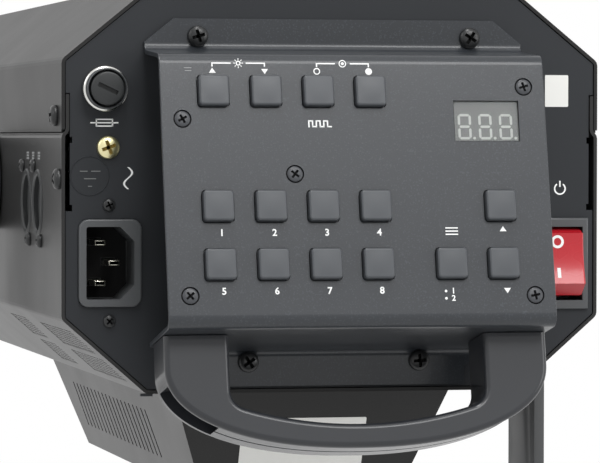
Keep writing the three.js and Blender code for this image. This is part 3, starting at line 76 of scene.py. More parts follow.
# The head's own frame: X right, Y forward from the rear plate's face, Z up from the tilt axis
REAR_Y = corner_mm("rear_plate", 0).y
TILT_Z = joint("head_tilt")["pos_m"][2] / MM
WALL_X = corner_mm("upper_cover", 1).x
LENGTH = corner_mm("upper_cover", 1).y - REAR_Y
PIVOT_Y = -REAR_Y
WORLD = Matrix.Scale(MM, 4)
HEAD = WORLD @ Matrix.Translation((0, REAR_Y, TILT_Z))


def face_frame(right, up, out, place=(0, 0, 0)):
    """A face drawn as X across, Y up and Z out of it, in the frame that carries it."""
    rows = [(right[i], up[i], out[i], place[i]) for i in range(3)]
    return Matrix(rows + [(0, 0, 0, 1)])


PANEL_LEAN = math.radians(12.57)
PANEL_TOP = (-29.4, 45.4)
PANEL_HALF = 67.2
PANEL_LONG = 94.15
PANEL_SHEET = 1.5
FLANGE_Y = -1.8

REAR = face_frame((1, 0, 0), (0, 0, 1), (0, -1, 0))
FLANGE = face_frame((1, 0, 0), (0, 0, 1), (0, -1, 0), (0, FLANGE_Y, 0))
PANEL_TURN = Matrix.Translation((0, *PANEL_TOP)) @ Matrix.Rotation(-PANEL_LEAN, 4, "X")
PANEL = PANEL_TURN @ REAR
LEFT = face_frame((0, -1, 0), (0, 0, 1), (-1, 0, 0), (-WALL_X, 0, 0))
RIGHT = face_frame((0, 1, 0), (0, 0, 1), (1, 0, 0), (WALL_X, 0, 0))
BEAM = face_frame((1, 0, 0), (0, 0, -1), (0, 1, 0))
PIVOT_LEFT = face_frame((0, -1, 0), (0, 0, 1), (-1, 0, 0), (0, PIVOT_Y, 0))
PIVOT_RIGHT = face_frame((0, 1, 0), (0, 0, 1), (1, 0, 0), (0, PIVOT_Y, 0))
# A side view drawn as Y forward and Z up, and pulled along X
SIDE_VIEW = face_frame((0, 1, 0), (0, 0, 1), (1, 0, 0))


def body_of(node):
    return frame["nodes"][node]["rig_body"]


# Objects, meshes and shader nodes


def linked_object(name, data):
    made = bpy.data.objects.new(name, data)
    bpy.context.scene.collection.objects.link(made)
    return made


def mesh_from(bm, name):
    """A drawn shape as a mesh; the shape is used up."""
    mesh = bpy.data.meshes.new(name)
    bm.to_mesh(mesh)
    bm.free()
    return mesh


def shape_from(mesh):
    """A mesh as a drawn shape; the mesh is used up."""
    bm = bmesh.new()
    bm.from_mesh(mesh)
    bpy.data.meshes.remove(mesh)
    return bm


def evaluated_mesh(made):
    """What an object shows, its modifiers applied or its text made a mesh."""
    view = bpy.context.evaluated_depsgraph_get()
    return bpy.data.meshes.new_from_object(made.evaluated_get(view))


def put(node, values):
    """Sets a node's own sockets by their names."""
    for socket, value in values.items():
        node.inputs[socket].default_value = value
    return node


def maths(nodes, links, operation, first, second):
    """What a math node makes of a socket and a second socket or number."""
    node = nodes.new("ShaderNodeMath")
    node.operation = operation
    links.new(first, node.inputs[0])
    if isinstance(second, float):
        node.inputs[1].default_value = second
    else:
        links.new(second, node.inputs[1])
    return node.outputs["Value"]


# Camera, floor and light

CAMERA_PLACE = Vector((-0.30233, -1.48732, 0.22266))
CAMERA_YAW = math.radians(12.376)
CAMERA_DIP = math.radians(1.364)
CAMERA_ROLL = math.radians(0.097)
CAMERA_LENS = 233.49
SENSOR = 36.0
STUDIO = 0.32
WHITE = (1, 1, 1, 1)


def add_camera():
    data = bpy.data.cameras.new("camera")
    data.lens = CAMERA_LENS
    data.sensor_width = SENSOR
    data.clip_start = 0.05
    data.clip_end = 50
    camera = linked_object("camera", data)
    level = math.cos(CAMERA_DIP)
    ahead = Vector((math.sin(CAMERA_YAW) * level, math.cos(CAMERA_YAW) * level, -math.sin(CAMERA_DIP)))
    right = Vector((math.cos(CAMERA_YAW), -math.sin(CAMERA_YAW), 0))
    up = right.cross(ahead)
    rolled_right = right * math.cos(CAMERA_ROLL) + up * math.sin(CAMERA_ROLL)
    rolled_up = up * math.cos(CAMERA_ROLL) - right * math.sin(CAMERA_ROLL)
    turn = Matrix((rolled_right, rolled_up, -ahead)).transposed().to_4x4()
    camera.matrix_world = Matrix.Translation(CAMERA_PLACE) @ turn
    bpy.context.scene.camera = camera


def add_softbox(name, place, target, size, power):
    data = bpy.data.lights.new(name, "AREA")
    data.shape = "RECTANGLE"
    data.size, data.size_y = size
    data.energy = power
    light = linked_object(name, data)
    light.visible_camera = False
    light.location = place
    light.rotation_mode = "QUATERNION"
    light.rotation_quaternion = (Vector(target) - Vector(place)).to_track_quat("-Z", "Y")


def white_where_seen(nodes, links, output_kind, plain, white, fade=None):
    """A plain shader, and a white one where it is seen straight, mirrored or through glass.

    The fade is what is left of the white where it is seen straight.
    """
    path = nodes.new("ShaderNodeLightPath")
    straight = path.outputs["Is Camera Ray"]
    if fade:
        straight = maths(nodes, links, "MULTIPLY", straight, fade)
    mirrored, through = path.outputs["Is Glossy Ray"], path.outputs["Is Transmission Ray"]
    around = maths(nodes, links, "MAXIMUM", mirrored, through)
    seen = maths(nodes, links, "MAXIMUM", straight, around)
    mix = nodes.new("ShaderNodeMixShader")
    output = nodes.new(output_kind)
    links.new(seen, mix.inputs["Fac"])
    links.new(plain.outputs[0], mix.inputs[1])
    links.new(white.outputs[0], mix.inputs[2])
    links.new(mix.outputs["Shader"], output.inputs["Surface"])


def add_world():
    world = bpy.data.worlds.new("studio")
    bpy.context.scene.world = world
    world.use_nodes = True
    nodes, links = world.node_tree.nodes, world.node_tree.links
    nodes.clear()
    soft = put(nodes.new("ShaderNodeBackground"), {"Color": WHITE, "Strength": STUDIO})
    white = put(nodes.new("ShaderNodeBackground"), {"Color": WHITE, "Strength": 1.0})
    white_where_seen(nodes, links, "ShaderNodeOutputWorld", soft, white)


FLOOR_RADIUS = 1.5
FLOOR_DROP = 0.0005
FLOOR_COLOUR = (0.86, 0.86, 0.86, 1)
SHADOW_RADIUS = 0.45
FADE_RADIUS = 1.2
SHADOW_GLOW = 0.55


def add_floor():
    """A pale disc that keeps the object's shadow and fades into the white around it."""
    bm = bmesh.new()
    bmesh.ops.create_circle(bm, cap_ends=True, segments=96, radius=FLOOR_RADIUS)
    bmesh.ops.translate(bm, vec=(0, 0, -FLOOR_DROP), verts=bm.verts)
    floor = linked_object("floor", mesh_from(bm, "floor"))
    material = bpy.data.materials.new("pale_floor")
    material.use_nodes = True
    nodes, links = material.node_tree.nodes, material.node_tree.links
    nodes.clear()
    diffuse = put(nodes.new("ShaderNodeBsdfDiffuse"), {"Color": FLOOR_COLOUR})
    glow = put(nodes.new("ShaderNodeEmission"), {"Strength": 1.0})
    place = nodes.new("ShaderNodeTexCoord")
    distance = nodes.new("ShaderNodeVectorMath")
    distance.operation = "LENGTH"
    links.new(place.outputs["Object"], distance.inputs[0])
    reach = {"From Min": SHADOW_RADIUS, "From Max": FADE_RADIUS, "To Min": SHADOW_GLOW}
    fade = put(nodes.new("ShaderNodeMapRange"), reach)
    links.new(distance.outputs["Value"], fade.inputs["Value"])
    white_where_seen(nodes, links, "ShaderNodeOutputMaterial", diffuse, glow, fade.outputs["Result"])
    floor.data.materials.append(material)


# Finishes

COAT_ROUGHNESS = 0.11
CLOUDS = 30.0
MICRON = 0.000001


def srgb(red, green, blue):
    """A colour as it shows, 0 to 255, as the shader's numbers."""
    shares = [c / 255 for c in (red, green, blue)]
    linear = [s / 12.92 if s <= 0.04045 else ((s + 0.055) / 1.055) ** 2.4 for s in shares]
    return (*linear, 1.0)


def scaled(colour, share):
    return tuple(min(1.0, c * share) for c in colour[:3]) + (1.0,)


def new_socket(group, name, kind, way, value=None):
    socket = group.interface.new_socket(name=name, in_out=way, socket_type=kind)
    if value is not None:
        socket.default_value = value


def noise_node(nodes, detail, roughness):
    return put(nodes.new("ShaderNodeTexNoise"), {"Detail": detail, "Roughness": roughness})


def make_grain_group():
    """Fine grain, wide clouds and sparse specks, from a place and scales per metre."""
    group = bpy.data.node_groups.new("surface_grain", "ShaderNodeTree")
    new_socket(group, "Place", "NodeSocketVector", "INPUT")
    new_socket(group, "Grain Scale", "NodeSocketFloat", "INPUT", 2500.0)
    new_socket(group, "Cloud Scale", "NodeSocketFloat", "INPUT", CLOUDS)
    for name in ("Grain", "Cloud", "Speck"):
        new_socket(group, name, "NodeSocketFloat", "OUTPUT")
    nodes, links = group.nodes, group.links
    source = nodes.new("NodeGroupInput")
    result = nodes.new("NodeGroupOutput")
    grain = noise_node(nodes, 2, 0.55)
    cloud = noise_node(nodes, 3, 0.5)
    speck = noise_node(nodes, 0, 0.5)
    for node, socket in ((grain, "Grain Scale"), (cloud, "Cloud Scale"), (speck, "Grain Scale")):
        links.new(source.outputs["Place"], node.inputs["Vector"])
        links.new(source.outputs[socket], node.inputs["Scale"])
    pick = put(nodes.new("ShaderNodeMapRange"), {"From Min": 0.62, "From Max": 0.74})
    links.new(speck.outputs["Fac"], pick.inputs["Value"])
    links.new(grain.outputs["Fac"], result.inputs["Grain"])
    links.new(cloud.outputs["Fac"], result.inputs["Cloud"])
    links.new(pick.outputs["Result"], result.inputs["Speck"])
    return group


GRAIN_GROUP = make_grain_group()
FINISHES = {}


def mixed(nodes, links, first, second, share):
    """Two colours mixed; the first may be a socket."""
    node = nodes.new("ShaderNodeMix")
    node.data_type = "RGBA"
    if isinstance(first, tuple):
        node.inputs[6].default_value = first
    else:
        links.new(first, node.inputs[6])
    node.inputs[7].default_value = second
    links.new(share, node.inputs[0])
    return node.outputs[2]


def finish(
    name,
    colour,
    roughness,
    slot=None,
    metallic=0.0,
    grain=2500.0,
    height=20,
    shading=0.12,
    gloss_range=0.06,
    specks=0.0,
    speck_colour=(255, 255, 255),
    stretch=(1, 1, 1),
    specular=0.5,
    transmission=0.0,
    ior=1.45,
    coat=0.0,
):
    """A painted, moulded or plated surface, its colour written as it shows.

    Colour and gloss drift a little, and a fine grain, its height in micrometres, bumps the surface.
    """
    colour = srgb(*colour)
    material = bpy.data.materials.new(name)
    material.use_nodes = True
    nodes, links = material.node_tree.nodes, material.node_tree.links
    shader = put(nodes["Principled BSDF"], {
        "Metallic": metallic, "Specular IOR Level": specular, "IOR": ior,
        "Transmission Weight": transmission, "Coat Weight": coat, "Coat Roughness": COAT_ROUGHNESS,
    })
    place = nodes.new("ShaderNodeTexCoord")
    mapping = put(nodes.new("ShaderNodeMapping"), {"Scale": stretch})
    links.new(place.outputs["Object"], mapping.inputs["Vector"])
    grains = nodes.new("ShaderNodeGroup")
    grains.node_tree = GRAIN_GROUP
    put(grains, {"Grain Scale": grain, "Cloud Scale": CLOUDS})
    links.new(mapping.outputs["Vector"], grains.inputs["Place"])
    cloud = grains.outputs["Cloud"]
    if transmission:
        put(shader, {"Base Color": colour})
    else:
        drift = mixed(nodes, links, scaled(colour, 1 - shading), scaled(colour, 1 + shading), cloud)
        if specks:
            amount = maths(nodes, links, "MULTIPLY", grains.outputs["Speck"], specks)
            drift = mixed(nodes, links, drift, srgb(*speck_colour), amount)
        links.new(drift, shader.inputs["Base Color"])
    least, most = max(0.0, roughness - gloss_range), min(1.0, roughness + gloss_range)
    spread = {"From Min": 0.3, "From Max": 0.7, "To Min": least, "To Max": most}
    gloss = put(nodes.new("ShaderNodeMapRange"), spread)
    links.new(cloud, gloss.inputs["Value"])
    links.new(gloss.outputs["Result"], shader.inputs["Roughness"])
    bump = put(nodes.new("ShaderNodeBump"), {"Distance": height * MICRON})
    links.new(grains.outputs["Grain"], bump.inputs["Height"])
    links.new(bump.outputs["Normal"], shader.inputs["Normal"])
    FINISHES[name] = material


def make_finishes():
    housing = {"grain": 2600, "height": 4, "shading": 0.05, "gloss_range": 0.015, "specks": 0.06,
               "speck_colour": (96, 96, 95)}
    finish("housing_coat", (44, 44, 44), 0.41, "housing_paint", specular=0.15, **housing)
    finish("tray_coat", (49, 49, 49), 0.36, "housing_paint", specular=0.2, **housing)
    finish("strap_coat", (90, 91, 92), 0.42, "housing_paint", grain=2600, height=4, specular=0.15)
    finish("plate_coat", (46, 48, 51), 0.52, "rear_plate_paint", grain=1800, height=10, specular=0.25)
    # A light grey on the earth sign's raised bars: a painted highlight.
    finish("ridge_highlight_coat", (118, 120, 120), 0.5, "rear_plate_paint", grain=1800, specular=0.4)
    finish("panel_coat", (47, 50, 54), 0.32, "panel_paint", grain=1800, shading=0.04, gloss_range=0.03,
           specular=0.42, specks=0.14, speck_colour=(100, 105, 113), coat=0.25)
    finish("handle_moulding", (37, 39, 43), 0.4, "handle_plastic", grain=3200, height=6, specular=0.35,
           coat=0.5)
    finish("black_moulding", (40, 42, 43), 0.42, "black_plastic", grain=2200)
    finish("rim_moulding", (82, 84, 86), 0.34, "black_plastic", grain=2200, height=15)
    finish("key_moulding", (69, 72, 76), 0.36, "key_plastic", grain=3000, height=10)
    finish("knob_moulding", (34, 34, 35), 0.45, "black_plastic", grain=1500, height=50)
    finish("rocker_red", (186, 28, 40), 0.3, "switch_red", grain=900, height=4, shading=0.06, coat=0.3)
    finish("black_screw", (36, 37, 38), 0.34, "black_plastic", grain=2200, height=6)
    finish("panel_screw", (60, 62, 66), 0.36, "panel_paint", grain=2200, height=6)
    finish("zinc_yellow", (226, 218, 172), 0.32, "plated_metal", metallic=1.0, grain=900, height=6,
           shading=0.2)
    # A darker zinc for the earth screw's cross recess: painted shade.
    finish("painted_zinc_shade", (132, 112, 58), 0.5, "plated_metal", metallic=0.6, grain=900, height=4)
    finish("nickel", (214, 214, 210), 0.2, "plated_metal", metallic=1.0, grain=1200, height=4)
    finish("bare_alloy", (186, 188, 190), 0.34, "bare_metal", metallic=1.0, grain=700, height=10,
           stretch=(1, 6, 1))
    finish("blade_metal", (232, 230, 214), 0.24, "plated_metal", metallic=1.0, grain=900, height=4)
    finish("white_ink", (250, 251, 250), 0.6, grain=3000, height=4, shading=0.03, specular=0.3)
    finish("faint_ink", (158, 160, 160), 0.6, grain=3000, height=4, shading=0.05, specular=0.3)
    finish("blank_label", (236, 236, 232), 0.5, grain=1200, height=4, shading=0.02)
    finish("circuit_board", (28, 84, 52), 0.45, "circuit_board", grain=800, shading=0.2)
    finish("display_ground", (116, 119, 118), 0.45, "display_face", grain=1500, height=4, shading=0.05)
    finish("display_segment", (196, 200, 196), 0.4, "display_face", grain=1500, height=3, shading=0.04)
    finish("lamp_phosphor", (232, 206, 70), 0.35, "lamp_dome", grain=900, height=10)
    finish("friction_felt", (28, 28, 28), 0.85, "friction_pad", grain=900, height=100)
    # Near-black for painted shade: on the floors of screw recesses, in the gaps of screw seats and at the
    # bottom of the inlet's mouth.
    finish("painted_recess_shade", (16, 16, 17), 0.7, "black_plastic", grain=1800, specular=0.2)
    # The dark screens behind the vents; the same finish paints the shade line along the tray's fold.
    finish("screen_coat_and_fold_shade", (30, 30, 30), 0.6, "housing_paint", grain=1400, height=50, specular=0.2)
    finish("clear_glass", (255, 255, 255), 0.03, "lens_glass", grain=20, height=0, gloss_range=0.01,
           transmission=1.0, ior=1.5)


# Modelling

# How far a cutter goes past what it cuts
PAST = 2.0


def shown(name, bm, finish_name, body="head", place=HEAD, replaces=None, angle=35):
    """A finished piece: its mesh in metres, on its body, with its finish."""
    mesh = mesh_from(moved(bm, place), name)
    mesh.polygons.foreach_set("use_smooth", [True] * len(mesh.polygons))
    mesh.set_sharp_from_angle(angle=math.radians(angle))
    mesh.materials.append(FINISHES[finish_name])
    piece = linked_object(name, mesh)
    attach(piece, body)
    if replaces:
        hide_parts(replaces)


def filleted(corners, steps=6, hold=0.0):
    """A closed outline whose corners (x, y, radius) are rounded, with a point held just off each round."""
    points = []
    for i, (x, y, radius) in enumerate(corners):
        if radius <= 0:
            points.append((x, y))
            continue
        here = Vector((x, y))
        before = (Vector(corners[i - 1][:2]) - here).normalized()
        after = (Vector(corners[(i + 1) % len(corners)][:2]) - here).normalized()
        half = before.angle(after) / 2
        centre = here + (before + after).normalized() * (radius / math.sin(half))
        reach = radius / math.tan(half)
        start = here + before * reach - centre
        end = here + after * reach - centre
        sweep = math.atan2(start.x * end.y - start.y * end.x, start.dot(end))
        first = math.atan2(start.y, start.x)
        if hold:
            points.append(tuple(here + before * (reach + hold)))
        for k in range(steps + 1):
            turn = first + sweep * k / steps
            points.append((centre.x + radius * math.cos(turn), centre.y + radius * math.sin(turn)))
        if hold:
            points.append(tuple(here + after * (reach + hold)))
    return points


def folded(line, thickness, bend, steps=6, hold=0.3):
    """The outline of a folded sheet: the line is its outer face, and the sheet lies to the left of it."""
    points = [Vector(p) for p in line]
    ways = [(b - a).normalized() for a, b in zip(points, points[1:])]
    normals = [Vector((-way.y, way.x)) for way in ways]
    outer, inner = [], []
    for i, p in enumerate(points):
        both = normals[max(i - 1, 0)] + normals[min(i, len(normals) - 1)]
        shift = p + both * (2 * thickness / both.length_squared)
        is_end = i in (0, len(points) - 1)
        turns_left = not is_end and ways[i - 1].x * ways[i].y - ways[i - 1].y * ways[i].x > 0
        wide = 0 if is_end else bend + thickness
        tight = 0 if is_end else bend
        outer.append((p.x, p.y, wide if turns_left else tight))
        inner.append((shift.x, shift.y, tight if turns_left else wide))
    return filleted(outer + inner[::-1], steps, hold)


def rectangle(width, height, corner=0.0, centre=(0, 0), steps=6):
    x, y = centre
    w, h = width / 2, height / 2
    corners = [(x + i * w, y + j * h, corner) for i, j in ((-1, -1), (1, -1), (1, 1), (-1, 1))]
    return filleted(corners, steps)


def circle_points(radius, count, centre=(0, 0), start=0.0, sweep=2 * math.pi):
    whole = abs(sweep - 2 * math.pi) < 1e-6
    steps = count if whole else count - 1
    return [(centre[0] + radius * math.cos(start + sweep * i / steps),
             centre[1] + radius * math.sin(start + sweep * i / steps)) for i in range(count)]


def rounded(bm, edges, offset, segments):
    bmesh.ops.bevel(bm, geom=edges, offset=offset, segments=segments, profile=0.5, affect="EDGES",
                    material=-1)


def slab(outline, low, high, edge=0.0, segments=3, both=False, hold=0.15):
    """An outline made solid between two heights.

    Its top edge, or both edges, may be rounded, with a strip held flat beside the round.
    """
    bm = bmesh.new()
    face = bm.faces.new([bm.verts.new((x, y, low)) for x, y in outline])
    made = bmesh.ops.extrude_face_region(bm, geom=[face])
    top = [v for v in made["geom"] if isinstance(v, bmesh.types.BMVert)]
    bmesh.ops.translate(bm, vec=(0, 0, high - low), verts=top)
    bmesh.ops.recalc_face_normals(bm, faces=bm.faces)
    if not edge:
        return bm
    near = 1e-4 * abs(high - low)
    ends = [(high, 1), (low, -1)] if both else [(high, 1)]
    for end, way in ends:
        rim = [e for e in bm.edges if all(abs(v.co.z - end) < near for v in e.verts)]
        rounded(bm, rim, edge, segments)
        bmesh.ops.bisect_plane(bm, geom=bm.verts[:] + bm.edges[:] + bm.faces[:], dist=1e-5,
                               plane_co=(0, 0, end - way * (edge + hold)), plane_no=(0, 0, 1))
        cap = [f for f in bm.faces if all(abs(v.co.z - end) < near for v in f.verts)]
        bmesh.ops.inset_region(bm, faces=cap, thickness=hold, use_even_offset=True)
    return bm


def box_shape(width, height, low, high, edge=0.0, centre=(0, 0), corner=0.0):
    return slab(rectangle(width, height, corner, centre), low, high, edge)


def spun(profile, steps=64, closed=False):
    """A turned shape about Z from (radius, height) points."""
    bm = bmesh.new()
    verts = [bm.verts.new((r, 0, z)) for r, z in profile]
    edges = [bm.edges.new(pair) for pair in zip(verts, verts[1:])]
    if closed:
        edges.append(bm.edges.new((verts[-1], verts[0])))
    bmesh.ops.spin(bm, geom=verts + edges, cent=(0, 0, 0), axis=(0, 0, 1), dvec=(0, 0, 0),
                   angle=2 * math.pi, steps=steps, use_merge=True, use_duplicate=False)
    bmesh.ops.remove_doubles(bm, verts=bm.verts, dist=1e-4)
    bmesh.ops.recalc_face_normals(bm, faces=bm.faces)
    return bm


def ring_shape(outer, inner, low, high, steps=48):
    return spun([(inner, low), (outer, low), (outer, high), (inner, high)], steps, closed=True)


def arc_shape(outer, inner, start, sweep, low, high, steps=20):
    """Part of a ring, such as the open ring of a power sign."""
    far = circle_points(outer, steps, start=start, sweep=sweep)
    near = circle_points(inner, steps, start=start, sweep=sweep)
    return slab(far + near[::-1], low, high)


def moved(bm, matrix):
    bm.transform(matrix)
    return bm


def at(x, y, z=0.0, turn=0.0):
    return Matrix.Translation((x, y, z)) @ Matrix.Rotation(turn, 4, "Z")


def merged(shapes):
    """Several shapes as one; each is used up."""
    whole = bmesh.new()
    for bm in shapes:
        mesh = mesh_from(bm, "part")
        whole.from_mesh(mesh)
        bpy.data.meshes.remove(mesh)
    return whole


def repeated(template, places):
    """Copies of a drawn shape, each placed by its matrix."""
    mesh = mesh_from(template, "template")
    copies = []
    for place in places:
        one = bmesh.new()
        one.from_mesh(mesh)
        copies.append(moved(one, place))
    bpy.data.meshes.remove(mesh)
    return merged(copies)


def carved(body, tool, operation="DIFFERENCE"):
    """One shape cut by another, joined to it, or what they share; the tool may be several solids."""
    whole = linked_object("body", mesh_from(body, "body"))
    cutter = linked_object("tool", mesh_from(tool, "tool"))
    cut = whole.modifiers.new("cut", "BOOLEAN")
    cut.operation = operation
    cut.solver = "EXACT"
    cut.object = cutter
    result = evaluated_mesh(whole)
    bpy.data.objects.remove(whole)
    bpy.data.objects.remove(cutter)
    return shape_from(result)


def refinished(finish_name, *nodes):
    """CAD nodes that keep their own shape, with a finish."""
    for node in nodes:
        source = frame["nodes"][node]
        source.data.materials.clear()
        source.data.materials.append(FINISHES[finish_name])


# Ink

INK = 0.04
SEAT = 0.02
CAP_SHARE = 0.7
NUMERAL_WEIGHT = 0.035


def number_shape(text, height):
    """Raised plain numerals, centred, of a cap height in millimetres."""
    curve = bpy.data.curves.new("numerals", "FONT")
    curve.body = text
    curve.align_x = "CENTER"
    curve.align_y = "CENTER"
    curve.size = height / CAP_SHARE
    curve.offset = NUMERAL_WEIGHT * height
    curve.extrude = INK / 2
    curve.resolution_u = 3
    made = linked_object("numerals", curve)
    bm = shape_from(evaluated_mesh(made))
    bpy.data.objects.remove(made)
    bpy.data.curves.remove(curve)
    return moved(bm, Matrix.Translation((0, 0, SEAT + INK / 2)))


def ink(outline):
    return slab(outline, SEAT, SEAT + INK)


def ink_bar(x, y, width, height):
    return box_shape(width, height, SEAT, SEAT + INK, centre=(x, y))


def ink_ring(x, y, outer, inner):
    return moved(ring_shape(outer, inner, SEAT, SEAT + INK, 24), at(x, y))


def ink_disc(x, y, radius):
    return ink(circle_points(radius, 20, (x, y)))


def ink_triangle(x, y, size, way):
    """A solid arrowhead that points up for way 1 and down for way -1."""
    reach = size * way
    return ink([(x - reach, y - 0.6 * reach), (x + reach, y - 0.6 * reach), (x, y + 0.9 * reach)])


# Screws

CROSS_LONG = 1.36
CROSS_WIDE = 0.34
CROSS_TAPER = 0.8
PAN_FLOOR = 0.1
# The radius and height of the housing's screw heads
HOUSING_SCREW = (3.65, 2.6)
SUNK_TOP = 0.3
SUNK_FLOOR = -0.9


def cross_bars(radius, low, high, share=1.0):
    """The two arms of a cross screwdriver's recess."""
    long, wide = radius * CROSS_LONG * share, radius * CROSS_WIDE * share
    return [box_shape(long, wide, low, high), box_shape(wide, long, low, high)]


def cross_cut(head, radius, floor, top):
    """A head with its cross recess, its arms a little narrower as they go down."""
    for arm in cross_bars(radius, floor, top + 1):
        foot = [v for v in arm.verts if v.co.z < top]
        bmesh.ops.scale(arm, vec=(CROSS_TAPER, CROSS_TAPER, 1), verts=foot)
        head = carved(head, arm)
    return head


def pan_screw(radius, height):
    rise = [0, 0.16, 0.34, 0.52, 0.7, 0.84, 0.94, 1.0]
    profile = [(radius * t, height * (0.35 + 0.65 * math.sqrt(1 - t ** 2.4))) for t in rise]
    profile += [(radius, 0.0), (radius * 0.96, -0.3), (0, -0.3)]
    return cross_cut(spun(profile, 40), radius, height * PAN_FLOOR, height)


def sunk_screw(radius):
    """A low countersunk head in a seat a little wider than it."""
    profile = [(0, SUNK_TOP), (radius * 0.5, 0.27), (radius * 0.82, 0.18), (radius * 0.95, 0.04),
               (radius, -0.16), (radius * 0.5, -1.4), (0, -1.4)]
    return cross_cut(spun(profile, 40), radius, SUNK_FLOOR, SUNK_TOP)


def add_screws(name, head, places, radius, floor, coat="black_screw"):
    """Screw heads, and near-black crosses on the floors of their recesses as painted shade."""
    shown(name, repeated(head, places), coat)
    # A dark cross in each recess paints the shade there.
    shade_floors = merged(cross_bars(radius, floor - 0.02, floor + 0.25, 0.9))
    shown(name + "_recess_shade", repeated(shade_floors, places), "painted_recess_shade")


def add_pan_screws(name, radius, height, places):
    add_screws(name, pan_screw(radius, height), places, radius, height * PAN_FLOOR)


# Control panel: one folded sheet, its keys, display and legends

KEY_COLUMNS = [-49.0, -30.87, -12.74, 5.39]
NUMBERED_ROWS = [52.8, 72.8]
KEY_RIGHT = 49.2
KEY_MODE = 31.0
KEY_SIZE = 10.5
KEY_PROUD = 2.6
KEY_HOLE = 11.4
KEY_DOME = 0.12
KEY_EDGE = 0.8
KEY_BACK = -2.8
KEY_FLANGE = 12.4
KEY_PLUNGER = 3.8
LEGEND_DROP = 9.1
PANEL_SCREWS = [
    (-59.9, 22.6, 0.5),
    (-21.9, 41.6, 0.9),
    (59.9, 11.0, 0.3),
    (-59.6, 83.3, 0.7),
    (60.0, 83.8, 0.2),
]
PANEL_SCREW = 2.7
SCREW_SINK = 3.15
DISPLAY_PLACE = (46.15, -23.05)
DISPLAY_SIZE = (23.1, 14.3)
FLANGE_TOP = 58.2
SHELF_DROP = 1.9
BEND = 2.6
TOP_ROOT = 50.0
LOW_ROOT = 58.41
LOWER_FLANGE = 12.1
TOP_INSET = 10.2
LOW_INSET = 20.2
RETURN_CLIP = -14.5
KEYS = [n for n in frame["nodes"] if n.startswith("key_") and n != "key_board"]


def on_panel(node):
    """The middle of a node's front on the panel's face."""
    source = frame["nodes"][node]
    back = (HEAD @ PANEL).inverted()
    points = [back @ source.matrix_world @ v.co for v in source.data.vertices]
    front = max(p.z for p in points)
    face = [p for p in points if p.z > front - 0.05]
    x = (min(p.x for p in face) + max(p.x for p in face)) / 2
    y = (min(p.y for p in face) + max(p.y for p in face)) / 2
    return x, y


def control_sheet():
    """The folded sheet of the control box, its corners clipped, with its holes and screw seats."""
    down = Vector((-math.sin(PANEL_LEAN), -math.cos(PANEL_LEAN)))
    inward = Vector((math.cos(PANEL_LEAN), -math.sin(PANEL_LEAN)))
    foot = Vector(PANEL_TOP) + down * PANEL_LONG
    end = foot + inward * ((FLANGE_Y - foot.x) / inward.x)
    low = end.y - LOWER_FLANGE
    shelf = PANEL_TOP[1] + SHELF_DROP
    line = [(FLANGE_Y, FLANGE_TOP), (FLANGE_Y, shelf), PANEL_TOP, tuple(foot), tuple(end), (FLANGE_Y, low)]
    outline = folded(line, PANEL_SHEET, BEND)
    sheet = moved(slab(outline, -PANEL_HALF, PANEL_HALF, 0.22, 2, both=True), SIDE_VIEW)
    corner = LOWER_FLANGE / 2
    flange_cuts, return_cuts = [], []
    for side in (-1, 1):
        far, top_in = side * (PANEL_HALF + PAST), side * (PANEL_HALF - TOP_INSET)
        low_in = side * (PANEL_HALF - LOW_INSET)
        clip = low_in + side * corner
        above = [(top_in, FLANGE_TOP + PAST), (far, FLANGE_TOP + PAST), (far, TOP_ROOT),
                 (side * PANEL_HALF, TOP_ROOT), (top_in, FLANGE_TOP)]
        below = [(far, low - PAST), (low_in, low - PAST), (low_in, low + corner), (clip, -LOW_ROOT),
                 (far, -LOW_ROOT)]
        for outline in (above, below):
            cut = slab(outline, -PAST - FLANGE_Y, PANEL_SHEET + PAST - FLANGE_Y)
            flange_cuts.append(moved(cut, REAR))
        outline = [(far, RETURN_CLIP), (clip, FLANGE_Y), (clip, PAST), (far, PAST)]
        return_cuts.append(slab(outline, end.y - PAST, end.y + 2 * LOWER_FLANGE))
    for cuts in (merged(flange_cuts), merged(return_cuts)):
        bmesh.ops.recalc_face_normals(cuts, faces=cuts.faces)
        sheet = carved(sheet, cuts)
    behind = -PANEL_SHEET - PAST
    holes = [box_shape(KEY_HOLE, KEY_HOLE, behind, PAST, 0, on_panel(name), 1.6) for name in KEYS]
    holes.append(box_shape(*DISPLAY_SIZE, behind, PAST, centre=DISPLAY_PLACE))
    for x, drop, _ in PANEL_SCREWS:
        holes.append(slab(circle_points(SCREW_SINK, 40, (x, -drop)), SUNK_FLOOR, PAST))
    return carved(sheet, moved(merged(holes), PANEL))


def key_cap():
    """A cap with rounded edges and a slight dome, its flange behind the sheet and its plunger."""
    cap = slab(rectangle(KEY_SIZE, KEY_SIZE, 1.2), KEY_BACK, KEY_PROUD, 0.7, 4, hold=0.1)
    flat = KEY_SIZE / 2 - KEY_EDGE
    front = KEY_PROUD - 1e-3
    for way in ((1, 0, 0), (0, 1, 0)):
        for share in (-0.75, -0.5, -0.25, 0, 0.25, 0.5, 0.75):
            top = [f for f in cap.faces if f.calc_center_median().z > front]
            edges = {e for f in top for e in f.edges}
            verts = {v for f in top for v in f.verts}
            bmesh.ops.bisect_plane(cap, geom=top + list(edges) + list(verts), dist=1e-5,
                                   plane_co=Vector(way) * flat * share, plane_no=way)
    for v in cap.verts:
        x, y = abs(v.co.x) / flat, abs(v.co.y) / flat
        if v.co.z > front and x < 1 and y < 1:
            v.co.z += KEY_DOME * (1 - x * x) * (1 - y * y)
    flange = box_shape(KEY_FLANGE, KEY_FLANGE, KEY_BACK, -1.8)
    plunger = box_shape(KEY_PLUNGER, KEY_PLUNGER, -6.2, -1.9)
    return merged([cap, flange, plunger])


def add_keys():
    for name in KEYS:
        cap = moved(key_cap(), PANEL @ at(*on_panel(name)))
        shown(name + "_cap", cap, "key_moulding", body_of(name), replaces=name, angle=40)


